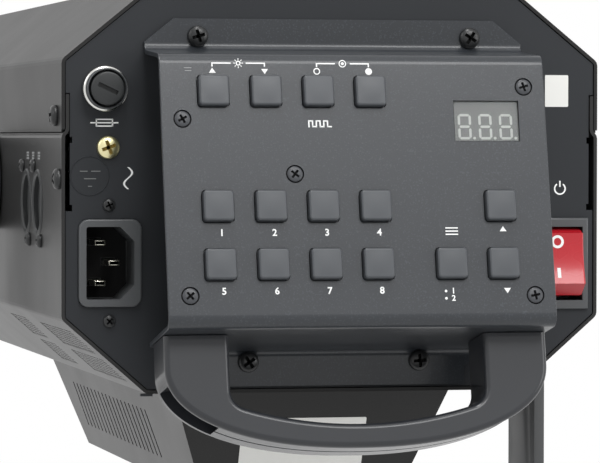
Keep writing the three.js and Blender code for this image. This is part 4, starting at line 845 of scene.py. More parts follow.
def add_panel():
    shown("control_sheet", control_sheet(), "panel_coat", replaces="control_box", angle=32)
    heads = [PANEL @ at(x, -drop, 0, turn) for x, drop, turn in PANEL_SCREWS]
    add_screws("panel_screws", sunk_screw(PANEL_SCREW), heads, PANEL_SCREW, SUNK_FLOOR, "panel_screw")
    # A dark ring at the bottom of each seat paints the shade in the gap around the screw head.
    seat_shade = ring_shape(SCREW_SINK - 0.05, 2.2, SUNK_FLOOR + 0.02, SUNK_FLOOR + 0.1)
    shown("panel_seat_shade", repeated(seat_shade, heads), "painted_recess_shade")
    dots = merged([ink_bar(-57.4, -4.9, 2.6, 0.22), ink_bar(-57.3, -5.9, 2.2, 0.22)])
    shown("panel_dots", moved(dots, PANEL), "faint_ink")


BRACKET_Y = -3.2
BRACKET_LINE = 0.44
SIGN_Y = -5.9
SIGN_SIZE = 1.2
PULSE_LINE = 0.46


def key_brackets():
    """A bracket over each pair of the upper keys, open in its middle."""
    marks = []
    for first in (0, 2):
        left, right = KEY_COLUMNS[first], KEY_COLUMNS[first + 1]
        middle = (left + right) / 2
        for side, end in ((-1, left), (1, right)):
            inner = middle + side * 2.6
            marks.append(ink_bar((inner + end) / 2, BRACKET_Y, abs(end - inner), BRACKET_LINE))
            marks.append(ink_bar(end, BRACKET_Y - 0.5, BRACKET_LINE, 1.4))
    return marks


def dimmer_and_shutter_signs():
    """A small sun in the first bracket and a ringed dot in the second."""
    sun = (KEY_COLUMNS[0] + KEY_COLUMNS[1]) / 2
    marks = [ink_ring(sun, BRACKET_Y, 0.85, 0.5)]
    for i in range(8):
        marks.append(moved(ink_bar(1.4, 0, 0.6, 0.26), at(sun, BRACKET_Y, 0, i * math.pi / 4)))
    shutter = (KEY_COLUMNS[2] + KEY_COLUMNS[3]) / 2
    return marks + [ink_ring(shutter, BRACKET_Y, 1.3, 0.98), ink_disc(shutter, BRACKET_Y, 0.5)]


def pulse_sign():
    """Three square pulses."""
    marks = []
    for i in range(3):
        x, y = KEY_COLUMNS[2] - 3.6 + i * 2.6, -24.2
        marks.append(ink_bar(x, y, PULSE_LINE, 2.5))
        marks.append(ink_bar(x + 0.65, y + 1.0, 1.6, PULSE_LINE))
        marks.append(ink_bar(x + 1.3, y, PULSE_LINE, 2.5))
        marks.append(ink_bar(x + 1.95, y - 1.0, 1.6, PULSE_LINE))
    return marks


def add_panel_legends():
    """Plain numbers and signs by the keys."""
    marks = []
    for i, x in enumerate(KEY_COLUMNS):
        for row, drop in enumerate(NUMBERED_ROWS):
            number = number_shape(str(row * len(KEY_COLUMNS) + i + 1), 2.3)
            marks.append(moved(number, at(x + 1.0, -drop - LEGEND_DROP)))
    marks.append(ink_triangle(KEY_COLUMNS[0], SIGN_Y, SIGN_SIZE, 1))
    marks.append(ink_triangle(KEY_COLUMNS[1], SIGN_Y, SIGN_SIZE, -1))
    marks.append(ink_ring(KEY_COLUMNS[2], SIGN_Y, SIGN_SIZE, 0.8))
    marks.append(ink_disc(KEY_COLUMNS[3], SIGN_Y, SIGN_SIZE))
    marks += key_brackets() + dimmer_and_shutter_signs() + pulse_sign()
    marks.append(ink_triangle(KEY_RIGHT + 0.6, -60.9, SIGN_SIZE, 1))
    marks.append(ink_triangle(KEY_RIGHT + 1.0, -82.0, SIGN_SIZE, -1))
    for i in range(3):
        marks.append(ink_bar(KEY_MODE + 0.7, -60.4 - 1.1 * i, 4.4, 0.4))
    for i in range(2):
        marks.append(ink_disc(KEY_MODE - 2.4, -82.2 - 2.5 * i, 0.45))
        marks.append(moved(number_shape(str(i + 1), 1.9), at(KEY_MODE + 0.2, -82.2 - 2.5 * i)))
    shown("panel_legends", moved(merged(marks), PANEL), "white_ink")


DIGIT_LINE = 0.42
DIGIT_HIGH = 0.12
DIGIT_PITCH = 7.3
DIGIT_WIDE = 4.7
DIGIT_TALL = 9.0
DIGIT_FIRST = (38.6, -24.8)
DIGIT_DEPTH = -1.62


def segment(x, y, length, upright):
    half, thick = length / 2, DIGIT_LINE
    points = [(-half, 0), (-half + thick, -thick), (half - thick, -thick), (half, 0), (half - thick, thick),
              (-half + thick, thick)]
    return moved(slab(points, 0, DIGIT_HIGH), at(x, y, 0, math.pi / 2 if upright else 0))


def add_display():
    """Three seven-bar digits with their points, unlit, behind the window."""
    half_wide, half_tall = DIGIT_WIDE / 2, DIGIT_TALL / 2
    shapes = []
    for i in range(3):
        x, y = DIGIT_FIRST[0] + i * DIGIT_PITCH, DIGIT_FIRST[1]
        for row in (-1, 0, 1):
            shapes.append(segment(x, y + row * (half_tall - 0.45), DIGIT_WIDE - 1.0, False))
        for side in (-1, 1):
            for half in (-1, 1):
                across = x + side * (half_wide - DIGIT_LINE)
                shapes.append(segment(across, y + half * half_tall / 2, half_tall - 1.0, True))
        point = slab(circle_points(0.5, 12), 0, DIGIT_HIGH)
        shapes.append(moved(point, at(x + half_wide + 0.95, y - half_tall + 0.5)))
    digits = moved(merged(shapes), PANEL @ at(0, 0, DIGIT_DEPTH))
    shown("display_digits", digits, "display_segment")
    ground = box_shape(22.5, 13.7, DIGIT_DEPTH - 0.1, DIGIT_DEPTH - 0.02, centre=DISPLAY_PLACE)
    shown("display_backing", moved(ground, PANEL), "display_ground")


# Handle: a moulded bow with rounded edges, a recess in each shoulder and a groove between them

HANDLE = {
    "half": PANEL_HALF - 0.5, "leg": 22.3, "setback": 13.2, "depth": 22.0, "round": 1.9,
    "outer_bend": 105.0, "outer_bottom": 133.3, "inner_bend": 117.7, "inner_bottom": 125.0,
    "inner_corner": 6.5, "roundness": 2.2,
}
RECESS = {"sink": 7.5, "near": 2.4, "far": 18.0, "from": 0.0625, "to": 0.25}
GROOVE = {"sink": 0.9, "near": 10.0, "far": 11.4}
BOW_STEPS = 160
BOW_SEAT = PANEL_LONG + 0.3


def bow_outer(inward, first=0.0, last=1.0):
    """Part of the bow's outer edge as (x, y) down the panel's face, between two shares of its way."""
    half = HANDLE["half"] - inward
    rise = HANDLE["outer_bottom"] - HANDLE["outer_bend"] - inward
    power = 2 / HANDLE["roundness"]
    count = round((last - first) * BOW_STEPS)
    points = []
    for k in range(count + 1):
        turn = math.pi * (first + k / BOW_STEPS)
        across, fall = math.cos(turn), math.sin(turn)
        x = -math.copysign(1, across) * half * abs(across) ** power
        points.append((x, -HANDLE["outer_bend"] - rise * abs(fall) ** power))
    return points


def bow_inner(steps=40):
    """The inner edge from the right leg to the left one: a shallow arc between two rounded corners."""
    half = HANDLE["half"] - HANDLE["leg"]
    sag = HANDLE["inner_bottom"] - HANDLE["inner_bend"]
    radius = (half ** 2 + sag ** 2) / (2 * sag)
    corner = HANDLE["inner_corner"]
    points = []
    for k in range(steps + 1):
        x = half * (1 - 2 * k / steps)
        if 0 < k < steps and abs(x) > half - corner:
            continue
        drop = HANDLE["inner_bottom"] - radius + math.sqrt(radius ** 2 - x ** 2)
        points.append((x, -drop, corner if k in (0, steps) else 0.0))
    return points


def bow_channel(sizes, first, last):
    outline = bow_outer(-PAST, first, last) + bow_outer(sizes["sink"], first, last)[::-1]
    return slab(outline, -HANDLE["setback"] - sizes["far"], -HANDLE["setback"] - sizes["near"])


def add_handle():
    half = HANDLE["half"]
    inner = half - HANDLE["leg"]
    root = BOW_SEAT - PAST
    outer = [(-half, -root, 0)] + [(x, y, 0) for x, y in bow_outer(0)] + [(half, -root, 0)]
    corners = outer + [(inner, -root, 0)] + bow_inner() + [(-inner, -root, 0)]
    front, back = -HANDLE["setback"], -HANDLE["setback"] - HANDLE["depth"]
    bow = slab(filleted(corners, 12), back, front, HANDLE["round"], 5, both=True)
    seat = (0, -BOW_SEAT + PAST)
    bow = carved(bow, box_shape(2 * half + 2 * PAST, 2 * PAST, back - PAST, front + PAST, centre=seat))
    near, far = RECESS["from"], RECESS["to"]
    for sizes, first, last in ((RECESS, near, far), (RECESS, 1 - far, 1 - near), (GROOVE, far, 1 - far)):
        bow = carved(bow, bow_channel(sizes, first, last))
    shown("handle_bow", moved(bow, PANEL), "handle_moulding", replaces="handle", angle=38)


# Fittings of the rear plate

INLET = (-78.9, -26.3)
FUSE = (-80.8, 33.8)
SWITCH = (79.65, -27.2)
EARTH_SCREW = (-79.5, 13.6)
EARTH_HEAD = (4.0, 2.3)
EARTH_MARK = (-86, 3.8)

# Widths, heights and corners on the plate
INLET_RIM = (22, 30.3, 3.4)
INLET_EARS = (11, 49, 4.0)
INLET_SHELL = (20.4, 28.7)
INLET_MOUTH = (16.8, 25.1)
INLET_CLIP = 5.0
INLET_FLOOR = -15
INLET_SCREWS = [(-79.2, -6.3, 0.4), (-79.1, -46.4, 0.8)]
BLADE = (4, 2, 0.2)
SWITCH_RIM = (25.5, 32.2)
SWITCH_BODY = (22.0, 28.2)
SWITCH_WELL = (21.2, 26.0)

# Turned shapes as radius and height
FUSE_RING = [(7.15, 0.3), (8.0, 0.3), (8.0, 2.4), (7.85, 3.0), (7.6, 3.4), (7.15, 3.6)]
FUSE_SLEEVE = [
    (6.4, 6.1), (6.55, 6.45), (6.75, 6.6), (6.9, 6.5), (7.1, 6.2), (7.1, 0.3), (7.0, 0.3),
    (7.0, -31.8), (4.3, -31.8), (4.3, -30.9), (5.2, -30.9), (5.2, -1.2), (6.4, -1.2),
]
FUSE_CAP = [
    (0, 8.0), (5.2, 8.0), (5.5, 7.92), (5.72, 7.75), (5.8, 7.5), (5.8, -0.9), (4.9, -0.9),
    (4.9, -2.7), (0, -2.7),
]
FUSE_SLOT = (7.4, 1.5)
FUSE_SLOT_TURN = math.radians(-25)
EARTH_RING = [(6.45, SEAT), (6.95, SEAT), (6.8, 0.22), (6.6, 0.22)]


def add_inlet():
    x, z = INLET
    rim = slab(rectangle(*INLET_RIM, INLET), -4.8, 1.6, 0.55, 3)
    ears = slab(rectangle(*INLET_EARS, INLET), -4.8, -1.8)
    shell = box_shape(*INLET_SHELL, -25.8, -4.0, centre=INLET)
    solid = carved(carved(rim, shell, "UNION"), ears, "UNION")
    w, h, c = INLET_MOUTH[0] / 2, INLET_MOUTH[1] / 2, INLET_CLIP
    corners = [(-w, -h), (w - c, -h), (w, c - h), (w, h - c), (w - c, h), (-w, h)]
    cavity = slab(filleted([(x + i, z + j, 0.8) for i, j in corners], 3), INLET_FLOOR, 3)
    solid = carved(solid, cavity)
    pins = {"upper": (x - 3.1, z + 7), "lower": (x - 3.1, z - 7), "earth": (x + 1.8, z)}
    slots = merged([box_shape(4.6, 2.6, -40, -13, centre=place) for place in pins.values()])
    shown("inlet_body", moved(carved(solid, slots), REAR), "rim_moulding", replaces="mains_inlet")
    # A near-black plate at the bottom of the mouth paints the shade deep inside it.
    floor = box_shape(16.4, 24.6, INLET_FLOOR + 0.1, INLET_FLOOR + 0.3, centre=INLET)
    holes = merged([box_shape(4.8, 2.8, -16, -13, centre=place) for place in pins.values()])
    shown("inlet_floor_shade", moved(carved(floor, holes), REAR), "painted_recess_shade")
    for label, place in pins.items():
        blade = slab(rectangle(*BLADE, place, 2), -31.8, -1.5, 0.6, 3)
        node = "inlet_pin_" + label
        shown(node + "_blade", moved(blade, REAR), "blade_metal", replaces=node)
    heads = [REAR @ at(across, up, 0, turn) for across, up, turn in INLET_SCREWS]
    add_pan_screws("inlet_screws", 2.2, 1.4, heads)


def add_fuse():
    ring = spun(FUSE_RING, 96, closed=True)
    shown("fuse_ring", moved(ring, REAR @ at(*FUSE)), "nickel")
    sleeve = spun(FUSE_SLEEVE, 96, closed=True)
    shown("fuse_sleeve", moved(sleeve, REAR @ at(*FUSE)), "rim_moulding", replaces="fuse_holder")
    slot = moved(box_shape(*FUSE_SLOT, 6.4, 10), at(0, 0, 0, FUSE_SLOT_TURN))
    cap = carved(spun(FUSE_CAP, 96), slot)
    shown("fuse_screw_cap", moved(cap, REAR @ at(*FUSE)), "black_moulding", "fuse_cap", replaces="fuse_cap")


ROCKER = {"width": 20.4, "ridge": 9.0, "proud": 10.2, "dish": 0.9, "half": 12.2, "drop": 4.5, "root": 9.0}
ROCKER_TURN = math.radians(11)
ROCKER_AXIS = -4.2
PRINT = 0.05


def rocker_surface(up):
    return ROCKER["proud"] - ROCKER["dish"] * (1 - (up / ROCKER["ridge"]) ** 2)


def rocker_frame():
    """Out of the switch, up it and across it, on the leaning rocker."""
    x, z = SWITCH
    c, s = math.cos(ROCKER_TURN), math.sin(ROCKER_TURN)
    return Matrix(((0, 0, -1, x), (s, c, 0, z), (c, -s, 0, ROCKER_AXIS), (0, 0, 0, 1)))


def rocker_view():
    """The rocker from its side: a dished face, two flanks and a round root."""
    ridge, half, drop, root = (ROCKER[k] for k in ("ridge", "half", "drop", "root"))
    heights = [ridge * (1 - 2 * k / 16) for k in range(17)]
    view = [(rocker_surface(up), up) for up in heights] + [(drop, -half), (3.0, -half)]
    turns = [math.pi * k / 12 for k in range(1, 12)]
    view += [(-0.7 * root * math.sin(t), -root * math.cos(t)) for t in turns]
    return view + [(3.0, half), (drop, half)]


def add_switch():
    rim = box_shape(*SWITCH_RIM, 0.3, 1.8, 0.7, centre=SWITCH)
    bezel = carved(rim, box_shape(*SWITCH_BODY, -22, 0.7, centre=SWITCH), "UNION")
    bezel = carved(bezel, box_shape(*SWITCH_WELL, -15, 4, centre=SWITCH))
    shown("switch_bezel", moved(bezel, REAR), "rim_moulding", replaces="rocker_bezel")
    w = ROCKER["width"] / 2
    place = REAR @ rocker_frame()
    rocker = moved(slab(rocker_view()[::-1], -w, w, 0.5, 3, both=True), place)
    shown("switch_rocker", rocker, "rocker_red", "rocker", replaces="rocker", angle=24)
    bars = [box_shape(1.25, 0.6, 0, PRINT, centre=(0.75, -6.6 + 0.6 * k)) for k in range(6)]
    marks = merged([moved(ring_shape(2.3, 1.35, 0, PRINT, 48), at(0.65, 6.0)), *bars])
    for v in marks.verts:
        across, up, rise = v.co
        v.co = (rocker_surface(up) + rise + SEAT, up, -across)
    bmesh.ops.recalc_face_normals(marks, faces=marks.faces)
    shown("switch_marks", moved(marks, place), "white_ink", "rocker")


def add_earth_point():
    place = REAR @ at(*EARTH_SCREW, 0, 0.35)
    shown("earth_screw", moved(pan_screw(*EARTH_HEAD), place), "zinc_yellow")
    # A darker zinc cross at the bottom of the recess paints its shade.
    shade_floors = merged(cross_bars(EARTH_HEAD[0], 0.2, 0.5, 0.9))
    shown("earth_screw_recess_shade", moved(shade_floors, place), "painted_zinc_shade")
    ring = spun(EARTH_RING, 72, closed=True)
    shown("earth_mark_ring", moved(ring, REAR @ at(*EARTH_MARK)), "plate_coat")
    # The raised bars are a lighter grey than the plate they rise from: a painted highlight on them.
    bars = [(-2.0, 1.6, 2.6), (2.2, 1.6, 3.2), (0.2, -1.0, 4.2), (0.2, -3.6, 1.4)]
    sign = [box_shape(w, 0.34, SEAT, 0.2, centre=(x, y)) for x, y, w in bars]
    shown("earth_mark_bars", moved(merged(sign), REAR @ at(*EARTH_MARK)), "ridge_highlight_coat")


FUSE_SIGN = (-80.8, 22.1)
FUSE_SIGN_LINE = 0.45
WAVE_SIGN = (-72.5, 3.0)
POWER_SIGN = (82.3, -0.8)


def fuse_sign():
    """A fuse's sign: a box on a line."""
    bars = [(0, 0, 9.8, FUSE_SIGN_LINE), (0, 1.15, 5.8, FUSE_SIGN_LINE), (0, -1.15, 5.8, FUSE_SIGN_LINE),
            (2.8, 0, FUSE_SIGN_LINE, 2.7), (-2.8, 0, FUSE_SIGN_LINE, 2.7)]
    x, y = FUSE_SIGN
    return [ink_bar(x + dx, y + dy, w, h) for dx, dy, w, h in bars]


def wave_sign():
    """One wave of alternating current, upright."""
    steps = 24
    wave = [(-3.8 + 7.6 * i / steps, 1.4 * math.sin(2 * math.pi * i / steps)) for i in range(steps + 1)]
    above = [(x, y + 0.36) for x, y in wave]
    below = [(x, y - 0.36) for x, y in wave]
    return moved(ink(below + above[::-1]), at(*WAVE_SIGN, 0, math.pi / 2))


def power_sign():
    x, y = POWER_SIGN
    arc = arc_shape(2.2, 1.65, math.radians(125), math.radians(290), SEAT, SEAT + INK)
    return [moved(arc, at(x, y)), ink_bar(x, y + 1.7, 0.55, 2.2)]


def add_plate_legends():
    marks = merged(fuse_sign() + [wave_sign()] + power_sign())
    shown("plate_legends", moved(marks, REAR), "white_ink")


def add_plate_tab():
    """A small dark tab under the plate's lower left corner."""
    tab = box_shape(4.2, 0.9, -1.2, 0.5, 0.2, centre=(-66.0, -72.0))
    shown("plate_tab", moved(tab, REAR), "plate_coat")


KEEL_BACK = 31.5
KEEL_TOP = -71.6
KEEL_LEAN = math.atan(0.5)
LABEL_HIGH = 0.14


def add_labels():
    """Plain blank labels."""
    plate = box_shape(8.5, 11.2, SEAT, LABEL_HIGH, centre=(80.95, 33.7), corner=0.4)
    shown("plate_label", moved(plate, REAR), "blank_label")
    wall = Matrix.Translation((0, KEEL_BACK, KEEL_TOP)) @ Matrix.Rotation(KEEL_LEAN, 4, "X") @ REAR
    keel = box_shape(45.5, 22.5, SEAT, LABEL_HIGH, centre=(-1.6, -24.4), corner=0.6)
    shown("keel_label", moved(keel, wall), "blank_label")


# Left wall: sockets and their screws, wall screws, vents

SOCKETS = {"data_socket_in": 54.3, "data_socket_out": 81.3}
SOCKET_Z = -6.4
# Turned shapes as radius and height out of the wall
SOCKET_RIM = [
    (9.8, -13.5), (9.8, 0.0), (10.1, 0.4), (10.6, 0.6), (11.7, 0.6), (12.2, 0.1), (12.2, -0.5),
    (11.2, -0.5), (11.2, -21.5), (0, -21.5), (0, -13.5),
]
SOCKET_PIN = [(0, -2.4), (0.7, -2.5), (1.2, -3.1), (1.2, -14), (0, -14)]
SOCKET_INSERT = [(0, -2.4), (7.1, -2.4), (7.4, -2.7), (7.4, -16), (0, -16)]
SOCKET_SCREWS = [(-7.9, 13.2), (7.4, -13.4)]
POLE_CIRCLE = 5.1
SEAM_Z = 19.4
FOLD_Z = 18.0
UPPER_SCREW_Z = 24.6


def add_sockets():
    for name, along in SOCKETS.items():
        parts = [spun(SOCKET_RIM, 72), box_shape(25.4, 31, -3.5, -1.5, corner=1.0)]
        turns = [math.pi / 2 + 2 * math.pi * k / 3 for k in range(3)]
        poles = [at(POLE_CIRCLE * math.cos(t), POLE_CIRCLE * math.sin(t)) for t in turns]
        if name == "data_socket_in":
            parts.append(repeated(spun(SOCKET_PIN, 20), poles))
        else:
            contacts = repeated(slab(circle_points(1.6, 20), -13, 3), poles)
            parts.append(carved(spun(SOCKET_INSERT, 64), contacts))
        socket = moved(merged(parts), LEFT @ at(-along, SOCKET_Z))
        shown(name + "_body", socket, "black_moulding", replaces=name)
    heads = []
    for along in SOCKETS.values():
        for dx, dz in SOCKET_SCREWS:
            heads.append(LEFT @ at(-along + dx, SOCKET_Z + dz, 0, 0.4))
    add_pan_screws("socket_screws", 2.4, 1.9, heads)
    marks = [ink_bar(-y, z, 5.6, 0.7) for y in (51.4, 65.2, 78.3) for z in (9.5, 10.5, 11.5)]
    shown("socket_legends", moved(merged(marks), LEFT), "faint_ink")


def add_seams():
    """A filler in the joint between cover and tray, and a thin dark line under it that paints the shade of
    the tray's fold.
    """
    fillers, shade_lines = [], []
    for wall, side in ((LEFT, -1), (RIGHT, 1)):
        middle = side * LENGTH / 2
        fillers.append(moved(box_shape(LENGTH - 2, 0.9, -0.9, -0.16, centre=(middle, SEAM_Z)), wall))
        shade_lines.append(moved(box_shape(LENGTH - 2, 0.2, SEAT, SEAT + 0.02, centre=(middle, FOLD_Z)), wall))
    shown("seam_fillers", merged(fillers), "housing_coat")
    shown("seam_shade_lines", merged(shade_lines), "screen_coat_and_fold_shade")


def add_wall_screws():
    front = [(LENGTH - 8, UPPER_SCREW_Z, 0.5), (LENGTH - 8, -30, 0.1)]
    rear_left = [(10.7, UPPER_SCREW_Z, 0.2), (3.9, 2.7, 0.9)]
    rear_right = [(16.0, UPPER_SCREW_Z, 0.6)]
    heads = [LEFT @ at(-y, z, 0, turn) for y, z, turn in rear_left + front]
    heads += [RIGHT @ at(y, z, 0, turn) for y, z, turn in rear_right + front]
    add_pan_screws("wall_screws", *HOUSING_SCREW, heads)
    upper = [(-48.5, 52.1, 0.3), (48.5, 52.1, 1.0)]
    lower = [(-30.5, -60.8, 0.6), (30.5, -60.8, 0.1)]
    heads = [FLANGE @ at(x, z, 0, turn) for x, z, turn in upper + lower]
    add_pan_screws("flange_screws", *HOUSING_SCREW, heads)


SLOPE_TOP = (95.8, -45.7)
SLOPE_FOOT = (66.3, -71.6)
VENTS_ALONG = [(0.034, 0.198), (0.284, 0.374)]
VENTS_DOWN = [(0.18, 0.49), (0.57, 0.87)]
HOLE_PITCH = 1.5
HOLE_RADIUS = 0.45


def perforated(width, height):
    """A sheet with a grid of round holes, one cell repeated."""
    columns, rows = round(width / HOLE_PITCH), round(height / HOLE_PITCH)
    w, h = width / columns, height / rows
    cell = bmesh.new()
    hole = bmesh.ops.create_circle(cell, cap_ends=False, segments=8, radius=HOLE_RADIUS)["verts"]
    rim = bmesh.ops.create_circle(cell, cap_ends=False, segments=8, radius=2 * HOLE_RADIUS)["verts"]
    for v in rim:
        reach = max(abs(v.co.x), abs(v.co.y))
        v.co.x *= w / 2 / reach
        v.co.y *= h / 2 / reach
    edges = [e for v in hole + rim for e in v.link_edges]
    bmesh.ops.bridge_loops(cell, edges=list(set(edges)))
    places = [at((i + 0.5) * w, (j + 0.5) * h) for i in range(columns) for j in range(rows)]
    sheet = repeated(cell, places)
    bmesh.ops.remove_doubles(sheet, verts=sheet.verts, dist=0.01)
    bmesh.ops.recalc_face_normals(sheet, faces=sheet.faces)
    if sheet.faces[:][0].normal.z < 0:
        bmesh.ops.reverse_faces(sheet, faces=sheet.faces)
    bmesh.ops.solidify(sheet, geom=sheet.faces[:], thickness=0.8)
    return sheet


def add_vents():
    """A finely perforated sheet, flush in each window of the lower slopes."""
    for side, label in ((-1, "left"), (1, "right")):
        top = Vector((side * SLOPE_TOP[0], SLOPE_TOP[1]))
        foot = Vector((side * SLOPE_FOOT[0], SLOPE_FOOT[1]))
        long = (foot - top).length
        down = (foot - top).normalized()
        out = (-side * down.y, 0, side * down.x)
        face = face_frame((0, side, 0), (-down.x, 0, -down.y), out, (top.x, 0, top.y))
        parts = []
        for near, far in VENTS_ALONG:
            for high, low in VENTS_DOWN:
                sheet = perforated((far - near) * LENGTH, (low - high) * long)
                parts.append(moved(sheet, at(min(side * near, side * far) * LENGTH, -low * long, -0.1)))
        shown("vent_mesh_" + label, moved(merged(parts), face), "tray_coat")


# Yoke, pivots and knobs

STRAP = {"half": 118.0, "top": 225.0, "thick": 4.0, "bend": 9.0, "wide": 38.0, "edge": 0.6}
BOLT_HOLE = 6.5
PIVOT_BORE = 5.4
SLOT = (44.0, 66.0, 4.2)
STRAIGHT_UP = 5.0
# Turned shapes as radius and distance from the head's middle
BOSS = [
    (5.4, 88.8), (11, 88.8), (11, 96.1), (17.3, 96.1), (18, 96.6), (18, 110.8), (17.5, 111.3),
    (5.4, 111.3),
]
WASHER = [(5.6, 111.6), (19.7, 111.6), (20, 111.9), (20, 113.4), (19.7, 113.7), (5.6, 113.7)]
CLAMP_SHANK = [(0, 91.8), (4.5, 91.8), (5.1, 92.4), (5.1, 119), (0, 119)]
CLAMP_HUB = [(0, 118.3), (10.6, 118.3), (11, 118.8), (11, 126), (0, 126)]
CLAMP_DISH = [(0, 134.6), (9.0, 134.6), (9.8, 134.9), (10.4, 136.4), (10.4, 139), (0, 139)]
CLAMP_CAP = [(0, 134.4), (8.2, 134.4), (8.2, 135.1), (7.6, 135.5), (0, 135.6)]
# Each knob's middle radius, the swing of it and the number of its lobes
CLAMP_LOBES = (20.9, 3.2, 6)
FOCUS_LOBES = (8.95, 0.55, 10)


def eased_rims(bm, offset, least):
    """Rounds every edge sharper than an angle."""
    rims = [e for e in bm.edges if e.is_manifold and e.calc_face_angle(0) > math.radians(least)]
    bmesh.ops.bevel(bm, geom=rims, offset=offset, segments=2, profile=0.5, affect="EDGES", material=-1,
                    clamp_overlap=True)
    return bm


def slot_shape(near, far, radius):
    """A round-ended slot through the strap's foot, along X."""
    low, high = min(near, far), max(near, far)
    ends = circle_points(radius, 17, (high - radius, 0), -math.pi / 2, math.pi)
    ends += circle_points(radius, 17, (low + radius, 0), math.pi / 2, math.pi)
    return slab(ends, -PAST, STRAP["thick"] + PAST)


def add_yoke():
    half, top, wide = STRAP["half"], STRAP["top"], STRAP["wide"] / 2
    line = [(-half, top), (-half, 0), (half, 0), (half, top)]
    strap = moved(slab(folded(line, STRAP["thick"], STRAP["bend"], 8), -wide - 1, wide + 1), REAR)
    arm = [(-wide, -STRAIGHT_UP), (wide, -STRAIGHT_UP)] + circle_points(wide, 33, (0, TILT_Z), 0, math.pi)
    strap = carved(strap, moved(slab(arm, -half - PAST, half + PAST), SIDE_VIEW), "INTERSECT")
    through = half + PAST
    bolt = slab(circle_points(BOLT_HOLE, 48), -PAST, STRAP["thick"] + PAST)
    pivot = moved(slab(circle_points(PIVOT_BORE, 48, (0, TILT_Z)), -through, through), SIDE_VIEW)
    low, high, radius = SLOT
    slots = [slot_shape(side * low, side * high, radius) for side in (-1, 1)]
    strap = carved(strap, merged([bolt, pivot] + slots))
    strap = eased_rims(strap, STRAP["edge"], 50)
    shown("yoke_strap", strap, "strap_coat", "yoke", WORLD, replaces="yoke", angle=30)


def lobed_outline(middle, wave, lobes, steps):
    """A round outline whose radius swings about its middle, once for each lobe."""
    points = []
    for k in range(steps):
        turn = 2 * math.pi * k / steps
        radius = middle + wave * math.cos(lobes * turn)
        points.append((radius * math.cos(turn), radius * math.sin(turn)))
    return points


def add_pivots():
    for side, face in (("left", PIVOT_LEFT), ("right", PIVOT_RIGHT)):
        boss = moved(spun(BOSS, 96, closed=True), face)
        shown("boss_" + side, boss, "black_moulding", replaces="pivot_boss_" + side)
        washer = moved(spun(WASHER, 96, closed=True), face)
        shown("washer_" + side, washer, "friction_felt", replaces="friction_washer_" + side)
        head = slab(lobed_outline(*CLAMP_LOBES, 144), 123.8, 135.8, 2.2, 4, both=True)
        head = carved(head, spun(CLAMP_DISH, 64))
        knob = merged([spun(CLAMP_SHANK, 48), spun(CLAMP_HUB, 64), head, spun(CLAMP_CAP, 64)])
        node = "tilt_knob_" + side
        shown("knob_" + side, moved(knob, face), "knob_moulding", body_of(node), replaces=node)


# Lens end

BARREL = {"bore": 56.5, "radius": 59.0, "from": 382.0, "to": 502.0}
LENS = {"rim": 56.2, "edge": 7.0, "plane": 469.3, "crown": 9.0}
KNOB_Y = 392.0
# Turned shapes as radius and height above the beam's axis
FOCUS_COLLAR = [(0, 71.8), (8.7, 71.8), (9, 72.1), (9, 74.2), (0, 74.2)]
FOCUS_STEM = [(0, 57.8), (3, 57.8), (3, 72), (0, 72)]


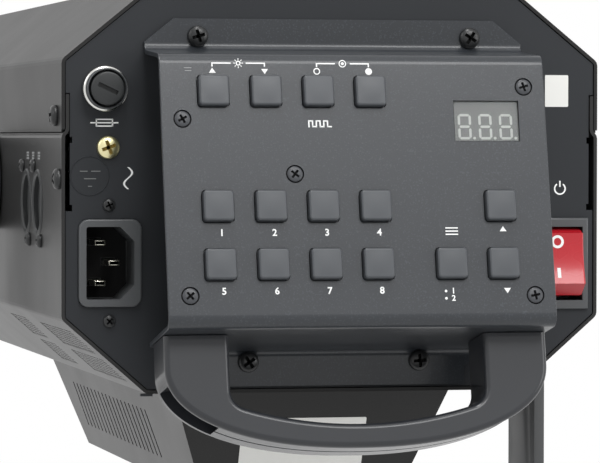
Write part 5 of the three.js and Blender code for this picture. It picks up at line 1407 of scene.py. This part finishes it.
def add_lens_end():
    bore, radius, start, stop = BARREL["bore"], BARREL["radius"], BARREL["from"], BARREL["to"]
    seat = start + 84
    profile = [(bore, start + 0.4), (bore + 0.4, start), (radius - 0.4, start), (radius, start + 0.4),
               (radius, stop - 10), (radius + 2.2, stop - 9.2), (radius + 2.2, stop - 0.6),
               (radius + 1.6, stop), (bore + 0.5, stop), (bore, stop - 0.6), (bore, seat + 3),
               (bore - 6, seat + 3), (bore - 6, seat), (bore, seat)]
    barrel = spun(profile, 160, closed=True)
    stud = slab(circle_points(3.3, 40, (0, KNOB_Y)), bore - 6, radius + 6)
    barrel = carved(moved(barrel, BEAM), stud)
    shown("barrel_tube", barrel, "housing_coat", "lens_barrel", replaces="lens_barrel")
    rim, edge, plane, crown = (LENS[k] for k in ("rim", "edge", "plane", "crown"))
    curve = (rim ** 2 + crown ** 2) / (2 * crown)
    radii = [rim * k / 12 for k in range(13)]
    dome = [(r, plane + edge + crown - curve + math.sqrt(curve ** 2 - r ** 2)) for r in radii]
    lens = moved(spun(dome + [(rim, plane), (0, plane)], 128), BEAM)
    shown("front_lens_glass", lens, "clear_glass", "lens_barrel", replaces="front_lens", angle=50)
    head = slab(lobed_outline(*FOCUS_LOBES, 120), 73.6, 86.8, 1.2, 4)
    knob = merged([head, spun(FOCUS_COLLAR, 64), spun(FOCUS_STEM, 32)])
    knob = moved(knob, at(0, KNOB_Y))
    shown("focus_knob_head", knob, "knob_moulding", body_of("focus_knob"), replaces="focus_knob")


def dress_nodes():
    refinished("housing_coat", "upper_cover", "front_plate")
    refinished("tray_coat", "lower_tray", "keel_box")
    refinished("plate_coat", "rear_plate")
    refinished("knob_moulding", "iris_lever")
    refinished("screen_coat_and_fold_shade", "vent_screen_left", "vent_screen_right")
    refinished("clear_glass", "condenser_lens", "display_window")
    refinished("display_ground", "display_module")
    refinished("circuit_board", "power_supply", "driver_board", "key_board")
    refinished("bare_alloy", "optics_chassis", "heat_sink", "iris_housing", "colour_wheel")
    refinished("lamp_phosphor", "led_module")
    refinished("black_moulding", "fan_frame", "fan_rotor", "wheel_motor")
    refinished("nickel", "fuse_cartridge")


add_camera()
add_world()
add_floor()
add_softbox("key_softbox", (0.27, -1.26, 1.05), (0, -0.2, 0.2), (0.8, 0.45), 8.5)
add_softbox("top_softbox", (-0.1, -0.6, 1.45), (0, 0, 0.2), (0.2, 0.8), 8)
add_softbox("left_softbox", (-1.3, -0.5, 0.9), (0, 0, 0.2), (0.7, 0.7), 3)
add_softbox("right_softbox", (1.15, -1.0, 0.4), (0.05, -0.2, 0.2), (0.6, 0.6), 3.6)
make_finishes()
dress_nodes()
add_panel()
add_keys()
add_panel_legends()
add_display()
add_handle()
add_inlet()
add_fuse()
add_switch()
add_earth_point()
add_plate_legends()
add_plate_tab()
add_labels()
add_sockets()
add_seams()
add_wall_screws()
add_vents()
add_yoke()
add_pivots()
add_lens_end()

bpy.context.scene.view_settings.view_transform = "Standard"
